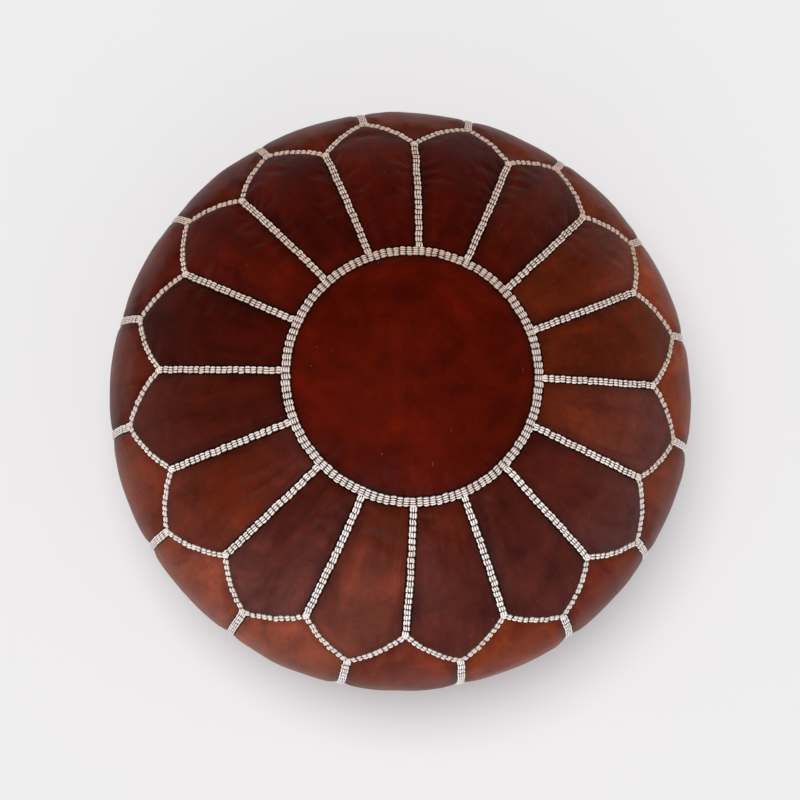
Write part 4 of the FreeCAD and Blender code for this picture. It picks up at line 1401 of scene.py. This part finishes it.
class StitchTree:
    """The node tree that lays blocks of side-by-side threads along a line on the cover."""

    SIZES: tuple[tuple[str, str], ...] = (
        ("Pitch", "NodeSocketFloat"),
        ("Threads", "NodeSocketInt"),
        ("Spacing", "NodeSocketFloat"),
        ("Length", "NodeSocketFloat"),
        ("Width", "NodeSocketFloat"),
        ("Height", "NodeSocketFloat"),
        ("Stray", "NodeSocketFloat"),
        ("Bow", "NodeSocketFloat"),
        ("Seed", "NodeSocketInt"),
        ("Thread", "NodeSocketMaterial"),
    )

    def __init__(self) -> None:
        """Builds the tree once, for every band."""
        self.tree = bpy.data.node_groups.new("stitched_band", "GeometryNodeTree")
        self.tree.interface.new_socket("Geometry", in_out="INPUT", socket_type="NodeSocketGeometry")
        for name, kind in self.SIZES:
            self.tree.interface.new_socket(name, in_out="INPUT", socket_type=kind)
        self.tree.interface.new_socket("Geometry", in_out="OUTPUT", socket_type="NodeSocketGeometry")
        self.board = Board(self.tree)
        self.lay()

    def vector(self, operation: str, first: Wire | tuple, second: Wire | tuple | float) -> Wire:
        """One Vector Math node; a scale takes its amount as the second value."""
        sockets = {0: first, 3 if operation == "SCALE" else 1: second}
        return self.board.node("ShaderNodeVectorMath", {"operation": operation}, sockets)[0]

    def chance(self, low: float, high: float, seed: Wire, number: Wire) -> Wire:
        """A random value for each numbered element, between two limits."""
        sockets = {2: low, 3: high, 7: number, 8: seed}
        return self.board.node("FunctionNodeRandomValue", {"data_type": "FLOAT"}, sockets)[1]

    def keep(self, shape: Wire, name: str, value: Wire, kind: str = "FLOAT") -> Wire:
        """The geometry with a value kept at its points under a name."""
        sockets = {0: shape, 2: name, 3: value}
        return self.board.node("GeometryNodeStoreNamedAttribute", {"data_type": kind}, sockets)[0]

    def kept(self, name: str, kind: str = "FLOAT") -> Wire:
        """The value that is kept under a name."""
        return self.board.node("GeometryNodeInputNamedAttribute", {"data_type": kind}, {0: name})[0]

    def moved(self, shape: Wire, shift: Wire) -> Wire:
        """The geometry with its points moved."""
        return self.board.node("GeometryNodeSetPosition", None, {0: shape, 3: shift})[0]

    def one_thread(self) -> Wire:
        """A short plump thread that dips at both ends, one unit long, wide and high.

        Returns:
            The thread's geometry, with its own map for the twist.
        """
        board = self.board
        ball, spread = board.node("GeometryNodeMeshUVSphere", None, {0: 6, 1: 5, 2: 0.5})
        settings = {"data_type": "FLOAT2", "domain": "CORNER"}
        sockets = {0: ball, 2: "UVMap", 3: spread}
        ball = board.node("GeometryNodeStoreNamedAttribute", settings, sockets)[0]
        sockets = {0: ball, "Rotation": (0.0, math.pi / 2.0, 0.0)}
        laid = board.node("GeometryNodeTransform", None, sockets)[0]
        place = board.node("GeometryNodeInputPosition")[0]
        along, across, up = board.parts(place)
        blunt = along.function("SIGN") * ((along.function("ABSOLUTE") * 2.0) ** 0.75) * 0.5
        dipped = up - (blunt * blunt) * 1.1
        shaped = board.joined(blunt, across, dipped)
        thread = board.node("GeometryNodeSetPosition", None, {0: laid, 2: shaped})[0]
        place = board.node("GeometryNodeInputPosition")[0]
        along = board.parts(place)[0]
        return self.keep(thread, "end", along * along * 4.0)

    def lay(self) -> None:
        """Lays the whole tree, from the line to the finished stitches."""
        board = self.board
        given = board.node("NodeGroupInput")
        line, pitch, threads, spacing, length, width, height, stray, bow, seed, cloth = given[:11]
        curve = board.node("GeometryNodeMeshToCurve", None, {0: line})[0]
        sockets = {0: curve, 2: pitch}
        spots, run, *_ = board.node("GeometryNodeCurveToPoints", {"mode": "LENGTH"}, sockets)
        spots = self.keep(spots, "run", run, "FLOAT_VECTOR")
        block = board.node("GeometryNodeInputIndex")[0]
        spots = self.keep(spots, "lean", self.chance(-1.0, 1.0, seed, block))
        spots = self.keep(spots, "slip", self.chance(-1.0, 1.0, seed + 17.0, block))
        sockets = {0: spots, 2: threads}
        doubled, order = board.node("GeometryNodeDuplicateElements", {"domain": "POINT"}, sockets)
        doubled = self.keep(doubled, "order", order - (threads - 1.0) * 0.5)
        out, run = self.kept("out", "FLOAT_VECTOR"), self.kept("run", "FLOAT_VECTOR")
        lean, slip, centred = self.kept("lean"), self.kept("slip"), self.kept("order")
        number = board.node("GeometryNodeInputIndex")[0]
        aside = self.vector("NORMALIZE", self.vector("CROSS_PRODUCT", out, run), (0.0, 0.0, 0.0))
        shake = self.chance(-1.0, 1.0, seed + 31.0, number)
        sideways = centred * spacing + slip * stray + shake * stray * 0.35
        forward = lean * stray * 0.6 + self.chance(-1.0, 1.0, seed + 43.0, number) * stray * 0.7
        round_off = centred * centred * height * -0.035
        shift = self.vector("ADD", self.vector("SCALE", aside, sideways), self.vector("SCALE", run, forward))
        shift = self.vector("ADD", shift, self.vector("SCALE", out, round_off))
        laid = self.keep(self.moved(doubled, shift), "aside", aside, "FLOAT_VECTOR")
        axes = {"primary_axis": "Z", "secondary_axis": "X"}
        facing = board.node("FunctionNodeAxesToRotation", axes, {0: out, 1: run})[0]
        tilt = 0.06 + lean * 0.13 + self.chance(-0.07, 0.07, seed + 59.0, number)
        twist = board.node("FunctionNodeAxisAngleToRotation", None, {0: (0.0, 0.0, 1.0), 1: tilt})[0]
        turning = {"rotation_space": "LOCAL"}
        facing = board.node("FunctionNodeRotateRotation", turning, {0: facing, 1: twist})[0]
        size = board.joined(
            length * (1.0 + self.chance(-0.10, 0.06, seed + 71.0, number)),
            width * (1.0 + self.chance(-0.12, 0.12, seed + 83.0, number)),
            height * (1.0 + self.chance(-0.12, 0.12, seed + 97.0, number)),
        )
        sockets = {0: laid, 2: self.one_thread(), 5: facing, 6: size}
        stitches = board.node("GeometryNodeInstanceOnPoints", None, sockets)[0]
        solid = board.node("GeometryNodeRealizeInstances", None, {0: stitches})[0]
        pull = self.kept("end") * self.kept("order") * bow * -1.0
        solid = self.moved(solid, self.vector("SCALE", self.kept("aside", "FLOAT_VECTOR"), pull))
        solid = board.node("GeometryNodeSetShadeSmooth", None, {0: solid, 2: True})[0]
        solid = board.node("GeometryNodeSetMaterial", None, {0: solid, 2: cloth})[0]
        board.node("NodeGroupOutput", None, {0: solid})

    def sew(
        self, name: str, lines: list[Line], closed: bool, sizes: StitchSizes, thread: Finish
    ) -> bpy.types.Object:
        """Lays stitches along lines and turns them into a plain mesh.

        Args:
            name: The new piece's name.
            lines: The lines to sew along.
            closed: Whether each line's end meets its start.
            sizes: The band's sizes.
            thread: The thread's finish.

        Returns:
            The finished piece.
        """
        points = np.concatenate([line for line, _ in lines])
        out = np.concatenate([way for _, way in lines])
        edges, first = [], 0
        for line, _ in lines:
            numbers = first + np.arange(len(line))
            edges += list(zip(numbers[:-1].tolist(), numbers[1:].tolist(), strict=True))
            if closed:
                edges.append((int(numbers[-1]), int(numbers[0])))
            first += len(line)
        mesh = bpy.data.meshes.new(f"{name}_line")
        mesh.from_pydata(points.tolist(), edges, [])
        ways = mesh.attributes.new("out", "FLOAT_VECTOR", "POINT")
        ways.data.foreach_set("vector", out.astype(np.float32).ravel())
        guide = add_object(f"{name}_line", mesh)
        laid = guide.modifiers.new("stitches", "NODES")
        laid.node_group = self.tree
        inputs = [item for item in self.tree.interface.items_tree if item.in_out == "INPUT"]
        sockets = {item.name: item.identifier for item in inputs}
        for label, _ in self.SIZES[:-1]:
            laid[sockets[label]] = getattr(sizes, label.lower())
        laid[sockets["Thread"]] = thread.material
        state = bpy.context.evaluated_depsgraph_get()
        sewn = bpy.data.meshes.new_from_object(guide.evaluated_get(state), depsgraph=state)
        bpy.data.objects.remove(guide)
        sewn.name = name
        if not sewn.materials:
            sewn.materials.append(thread.material)
        return add_object(name, sewn)


@dataclass
class Bands:
    """The four kinds of cream band: round the disc, between petals, along their tips and down the sides."""

    pattern: Pattern
    thread: Finish
    # The packing's finish: its darker tan is painted shade between the stitches.
    packing_painted_shade: Finish
    tree: StitchTree
    lift: float = 0.45 * MILLIMETRE
    ring: StitchSizes = StitchSizes(
        pitch=5.6e-3, threads=4, spacing=2.15e-3, length=5.8e-3, width=1.88e-3, height=2.4e-3,
        stray=0.35e-3, bow=0.42e-3, seed=1)
    radial: StitchSizes = StitchSizes(
        pitch=5.5e-3, threads=3, spacing=2.2e-3, length=5.8e-3, width=1.98e-3, height=2.4e-3,
        stray=0.4e-3, bow=0.6e-3, seed=2)
    scallop: StitchSizes = StitchSizes(
        pitch=5.2e-3, threads=2, spacing=2.8e-3, length=5.6e-3, width=2.7e-3, height=2.6e-3,
        stray=0.5e-3, bow=0.9e-3, seed=3)
    side: StitchSizes = StitchSizes(
        pitch=7.0e-3, threads=4, spacing=1.8e-3, length=7.7e-3, width=1.75e-3, height=2.4e-3,
        stray=0.25e-3, bow=0.2e-3, seed=4)
    points: int = 48
    ring_points: int = 360
    ring_gap: float = 6.5 * MILLIMETRE
    valley_gap: float = 1.5 * MILLIMETRE
    tip_gap: float = 3.5 * MILLIMETRE
    base_gap: float = 2.0 * MILLIMETRE
    bare_edge: float = 1.6 * MILLIMETRE
    tip_inset: float = 0.012
    side_lift: float = 1.6
    corners: int = 8

    def line(self, turn: np.ndarray, run: np.ndarray, lift: float) -> Line:
        """A line on the cover and the outward direction along it."""
        return self.pattern.place(turn, run, lift), self.pattern.outward(turn, run)

    def bed(self, name: str, lines: list[Line], closed: bool, width: float) -> None:
        """Lays the flat packed thread that shows between the stitches of a band; its darker tan is painted
        shade between them.

        Args:
            name: The new piece's name.
            lines: The band's lines, as the stitches have them.
            closed: Whether each line's end meets its start.
            width: How wide the packing is.
        """
        corners = np.linspace(0.0, 2.0 * math.pi, self.corners + 1)[:-1]
        points, faces, first = [], [], 0
        for line, out in lines:
            ahead = np.gradient(line, axis=0)
            if closed:
                ahead = np.roll(line, -1, axis=0) - np.roll(line, 1, axis=0)
            aside = np.cross(out, ahead)
            aside /= np.linalg.norm(aside, axis=1, keepdims=True)
            sway = np.cos(corners)[None, :, None] * width / 2.0
            rise = (np.sin(corners) * 0.7 - 0.5)[None, :, None] * MILLIMETRE
            tube = line[:, None, :] + aside[:, None, :] * sway + out[:, None, :] * rise
            last = first + len(line) * self.corners
            quads = grid_faces(len(line) + closed, self.corners, first, True)
            faces += np.where(quads >= last, quads - last + first, quads).tolist()
            points.append(tube.reshape(-1, 3))
            if not closed:
                faces.append(list(range(first, first + self.corners)))
                faces.append(list(range(last - 1, last - 1 - self.corners, -1)))
            first = last
        piece = add_mesh(name, np.concatenate(points), faces)
        piece.data.materials.append(self.packing_painted_shade.material)
        enter(piece)

    def band(
        self, name: str, node: str, lines: list[Line], sizes: StitchSizes, closed: bool = False
    ) -> None:
        """Sews one kind of band and lays its bed.

        Args:
            name: The new pieces' name.
            node: The solid node that the stitches stand for.
            lines: The band's lines.
            sizes: The sizes of its stitches.
            closed: Whether each line's end meets its start.
        """
        piece = self.tree.sew(f"{name}_stitches", lines, closed, sizes, self.thread)
        enter(piece, node)
        self.bed(f"{name}_packing", lines, closed, sizes.spacing * sizes.threads - self.bare_edge)

    def build(self) -> None:
        """Sews all four bands."""
        pattern, step = self.pattern, self.pattern.step
        around = np.linspace(0.0, 2.0 * math.pi, self.ring_points + 1)[:-1]
        ring = [self.line(around, np.full(self.ring_points, pattern.ring_run), self.lift)]
        self.band("ring", "centre_ring_braid", ring, self.ring, True)
        valley = float(pattern.scallop_run(np.array([0.0]))[0])
        share, even = np.linspace(0.0, 1.0, self.points), np.ones(self.points)
        radial, tips, sides = [], [], []
        for number in range(pattern.petals):
            start = pattern.ring_run + self.ring_gap
            run = start + (valley - self.valley_gap - start) * share
            radial.append(self.line(even * number * step, run, self.lift))
            turn = (number + self.tip_inset + (1.0 - 2.0 * self.tip_inset) * share) * step
            tips.append(self.line(turn, pattern.scallop_run(turn), self.lift))
            start = pattern.tip_run + self.tip_gap
            run = start + (pattern.base_run - self.base_gap - start) * share
            sides.append(self.line(even * (number + 0.5) * step, run, self.lift * self.side_lift))
        self.band("petal", "petal_seam_braids", radial, self.radial)
        self.band("tip", "scallop_braid", tips, self.scallop)
        self.band("side", "side_seam_braids", sides, self.side)


# ---------------------------------------------------------------- base, zip and filling


@dataclass
class Base:
    """The two halves of the base, with a narrow slot for the zip between them."""

    pattern: Pattern
    leather: Finish
    slot_half: tuple[float, float] = (0.1296, 0.0065)
    wall: float = 1.8 * MILLIMETRE
    seam_ridge: float = 1.4 * MILLIMETRE
    ridge_width: float = 4.0 * MILLIMETRE
    lowest: float = 0.6 * MILLIMETRE
    rows: int = 76
    columns: int = 150

    def half(self, back: bool) -> bpy.types.Object:
        """One half, from the zip's slot out to the seam with the sides.

        Args:
            back: Whether it is the half towards +Y.

        Returns:
            The finished half.
        """
        side = 1.0 if back else -1.0
        share = np.linspace(0.0, 1.0, self.columns + 1)
        angle = math.pi * (share - 0.035 * np.sin(2.0 * math.pi * share))
        long, wide = self.slot_half
        inner_x = long * np.cos(math.pi * share)
        inner_y = wide * np.minimum(1.0, np.sin(math.pi * share) * 7.0)
        outer = self.pattern.base_seam
        out = np.linspace(0.0, 1.0, self.rows + 1)[:, None]
        east = inner_x * (1.0 - out) + outer * np.cos(angle) * out
        north = (inner_y * (1.0 - out) + outer * np.sin(angle) * out) * side
        radius = np.hypot(east, north)
        rim = outer - radius
        slot = np.hypot(np.maximum(np.abs(east) - long, 0.0), np.abs(north) - wide)
        slot = np.where(np.abs(east) > long, np.abs(north), slot)
        seam = np.minimum(rim, np.abs(slot) + 2.5 * MILLIMETRE)
        level = self.pattern.outline.underside(radius)
        points = np.stack([east, north, level], axis=-1)
        soft = rumple(points, 18.0, 4) * 0.8 + rumple(points, 60.0, 6) * 0.35
        free = np.clip(rim / 0.012, 0.0, 1.0) * np.clip((np.abs(north) - 0.012) / 0.03, 0.0, 1.0)
        points[..., 2] += np.maximum(soft * free * MILLIMETRE, -self.lowest) + self.lowest * free
        points[..., 2] += self.seam_ridge * np.exp(-((rim / self.ridge_width) ** 2))
        faces = grid_faces(self.rows + 1, self.columns + 1)
        if back:
            faces = faces[:, ::-1]
        name = "base_hide_back" if back else "base_hide_front"
        piece = add_mesh(name, points, faces)
        add_values(piece, "seam", np.maximum(seam, 0.0).ravel())
        add_values(piece, "dye", np.broadcast_to(DyeAndPaintedLight.SADDLE.shade * 0.9, points.shape).reshape(-1, 3))
        piece.data.materials.append(self.leather.material)
        add_wall(piece, self.wall)
        return piece

    def build(self) -> None:
        """Makes both halves."""
        for back, node in ((True, "base_panel_back"), (False, "base_panel_front")):
            enter(self.half(back), node)


@dataclass
class Zip:
    """The zip in the base: its solids keep their shapes and take their finishes."""

    nodes: dict[str, bpy.types.Object]
    brass: Finish
    tape: Finish
    waxed: Finish

    def build(self) -> None:
        """Gives every part of the zip its finish."""
        cloth = {"zip_tape_back": self.tape, "zip_tape_front": self.tape, "zip_stitching": self.waxed}
        for name, node in self.nodes.items():
            if name.startswith("zip_"):
                finish = cloth.get(name, self.brass)
                node.data.materials.clear()
                node.data.materials.append(finish.material)
                log.info("%s: %s", name, finish.label)


@dataclass
class Inside:
    """The closed cotton bag and the stuffing that it holds."""

    outline: Outline
    cotton: Finish
    fibre: Finish
    bag_gap: float = 6.5 * MILLIMETRE
    fibre_gap: float = 9.0 * MILLIMETRE
    rings: int = 90
    floor_rings: int = 24
    floor_flat: float = 0.17
    columns: int = 120

    def closed_form(self, name: str, gap: float, ripple: float, seed: int) -> bpy.types.Object:
        """A lumpy closed form a little smaller than the cover.

        Args:
            name: The piece's name.
            gap: How far it stays inside the cover.
            ripple: How high its lumps are.
            seed: Which lumps it has.

        Returns:
            The form, closed at both poles.
        """
        share = np.linspace(0.0, 1.0, self.rings + 1)[1:]
        radius, height, out, up = self.outline.at(share * self.outline.longest)
        radius, height = radius - out * gap, height - up * gap
        floor = self.outline.dish + gap
        across = np.linspace(1.0, 0.0, self.floor_rings + 2)[1:-1] * radius[-1]
        low = np.maximum(self.outline.underside(across) + gap, height[-1])
        low = np.maximum(low, np.where(across < self.floor_flat, floor, 0.0))
        radius = np.concatenate([radius, across])
        height = np.concatenate([height, low])
        turn = np.linspace(0.0, 2.0 * math.pi, self.columns + 1)[:-1]
        level = np.repeat(height[:, None], self.columns, axis=1)
        points = np.stack([radius[:, None] * np.cos(turn), radius[:, None] * np.sin(turn), level], axis=-1)
        lumps = rumple(points, 38.0, seed) * ripple
        centre = np.array([0.0, 0.0, self.outline.height * 0.45])
        points = centre + (points - centre) * (1.0 - np.abs(lumps))[..., None]
        poles = [[0.0, 0.0, self.outline.height - gap], [0.0, 0.0, floor]]
        count = len(radius) * self.columns
        everything = np.concatenate([points.reshape(-1, 3), poles])
        faces = grid_faces(len(radius), self.columns, 0, True).tolist()
        last = (len(radius) - 1) * self.columns
        for column in range(self.columns):
            after = (column + 1) % self.columns
            faces.append([count, column, after])
            faces.append([count + 1, last + after, last + column])
        return add_mesh(name, everything, faces)

    def build(self) -> None:
        """Makes the bag and the stuffing."""
        for name, node, slot, gap, ripple, finish, seed in (
            ("cotton_bag", "inner_bag", "bag_cotton", self.bag_gap, 0.006, self.cotton, 21),
            ("fibre_mass", "stuffing", "stuffing_fibre", self.fibre_gap, 0.012, self.fibre, 22),
        ):
            piece = self.closed_form(name, gap, ripple, seed)
            piece.data.materials.append(finish.material)
            enter(piece, node)


# ---------------------------------------------------------------- studio


@dataclass
class Studio:
    """The camera above the pouf, the pale floor and the soft lights."""

    middle: Vector
    distance: float = 1.8
    tilt: float = 8.3 * DEGREE
    bearing: float = 244.4 * DEGREE
    lens: float = 88.56
    shift: tuple[float, float] = (-0.0036, -0.0054)
    sky_side: tuple[float, float, float] = (-0.15, 0.10, 1.0)
    sky_power: float = 2.5
    sky_width: float = 38.0 * DEGREE
    air: float = 0.36
    far_air: float = 0.3
    window_side: tuple[float, float, float] = (-0.25, -1.0, 0.62)
    window_power: float = 1.06
    window_width: float = 36.0 * DEGREE
    window_colour: tuple[float, float, float] = (0.97, 0.975, 1.0)
    air_colour: tuple[float, float, float, float] = (1.0, 0.995, 0.99, 1.0)
    floor_half: float = 40.0
    floor_drop: float = 0.3 * MILLIMETRE

    def camera(self) -> None:
        """Sets up the camera, nearly straight above."""
        back = Vector((
            math.sin(self.tilt) * math.cos(self.bearing),
            math.sin(self.tilt) * math.sin(self.bearing),
            math.cos(self.tilt)))
        right = Vector((0.0, 1.0, 0.0)).cross(back).normalized()
        up = back.cross(right)
        data = bpy.data.cameras.new("camera")
        data.lens = self.lens
        data.sensor_width = 36.0
        data.shift_x, data.shift_y = self.shift
        made = add_object("camera", data)
        turned = Matrix((right, up, back)).transposed()
        made.matrix_world = Matrix.Translation(self.middle + back * self.distance) @ turned.to_4x4()
        bpy.context.scene.camera = made

    def floor(self, paper: Finish) -> None:
        """Lays the pale floor.

        Args:
            paper: The floor's finish.
        """
        wide, low = self.floor_half, -self.floor_drop
        corners = np.array([[-wide, -wide, low], [wide, -wide, low], [wide, wide, low], [-wide, wide, low]])
        made = add_mesh("studio_floor", corners, [[0, 1, 2, 3]], False)
        made.data.materials.append(paper.material)
        made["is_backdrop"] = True

    def lamp(
        self, name: str, side: tuple[float, float, float], power: float, width: float
    ) -> bpy.types.Object:
        """Hangs one broad, soft light far off to a side.

        Args:
            name: The light's name.
            side: The way from the object to the light.
            power: The light that falls on a surface that faces it.
            width: How wide the light looks from the object, as an angle.

        Returns:
            The light.
        """
        data = bpy.data.lights.new(name, "SUN")
        data.energy = power
        data.angle = width
        made = add_object(name, data)
        made.rotation_euler = Vector(side).to_track_quat("Z", "Y").to_euler()
        return made

    def build(self, paper: Finish) -> None:
        """Sets up the whole studio.

        Args:
            paper: The floor's finish.
        """
        self.camera()
        self.floor(paper)
        sky = self.lamp("skylight", self.sky_side, self.sky_power, self.sky_width)
        sky.visible_glossy = False
        window = self.lamp("window", self.window_side, self.window_power, self.window_width)
        window.data.use_shadow = False
        window.data.color = self.window_colour
        world = bpy.data.worlds.new("studio_air")
        world.use_nodes = True
        board = Board(world.node_tree)
        toward = board.node("ShaderNodeTexCoord")[0]
        north = board.parts(toward)[1]
        background = world.node_tree.nodes["Background"]
        background.inputs["Color"].default_value = self.air_colour
        glow = north.ramp(-0.1, 0.7, self.air, self.air * self.far_air)
        world.node_tree.links.new(glow.socket, background.inputs["Strength"])
        bpy.context.scene.world = world
        bpy.context.scene.view_settings.view_transform = "Standard"


def main() -> None:
    """Builds the pouf and its studio in order and reports each piece."""
    logging.basicConfig(level=logging.INFO, format="%(message)s")
    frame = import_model()
    solid_low, solid_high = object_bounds()
    outline = Outline(radius=solid_high.x, height=solid_high.z)
    base_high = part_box("base_panel_back")[1]
    pattern = Pattern(outline, base_seam=base_high.x)
    studio = Studio(Vector((0.0, 0.0, solid_high.z / 2.0)))
    studio.build(Paper())
    leather = Leather()
    Cover(pattern, leather).build()
    # The packing thread's darker tan is painted shade between the stitches.
    packing_painted_shade = Thread("packing_thread_painted_shade", light=(150, 106, 82), dark=(92, 58, 42), roughness=0.8)
    Bands(pattern, Thread(), packing_painted_shade, StitchTree()).build()
    Base(pattern, leather).build()
    waxed = Thread("waxed_thread", light=(104, 66, 42), dark=(60, 36, 24), roughness=0.5, north_shade=0.0)
    Zip(frame["nodes"], Brass(), Weave("zip_tape_weave"), waxed).build()
    cotton = Weave("bag_cotton", light=(226, 217, 200), dark=(190, 178, 158), threads=1200.0)
    Inside(outline, cotton, Fibre()).build()


if __name__ == "__main__":
    main()
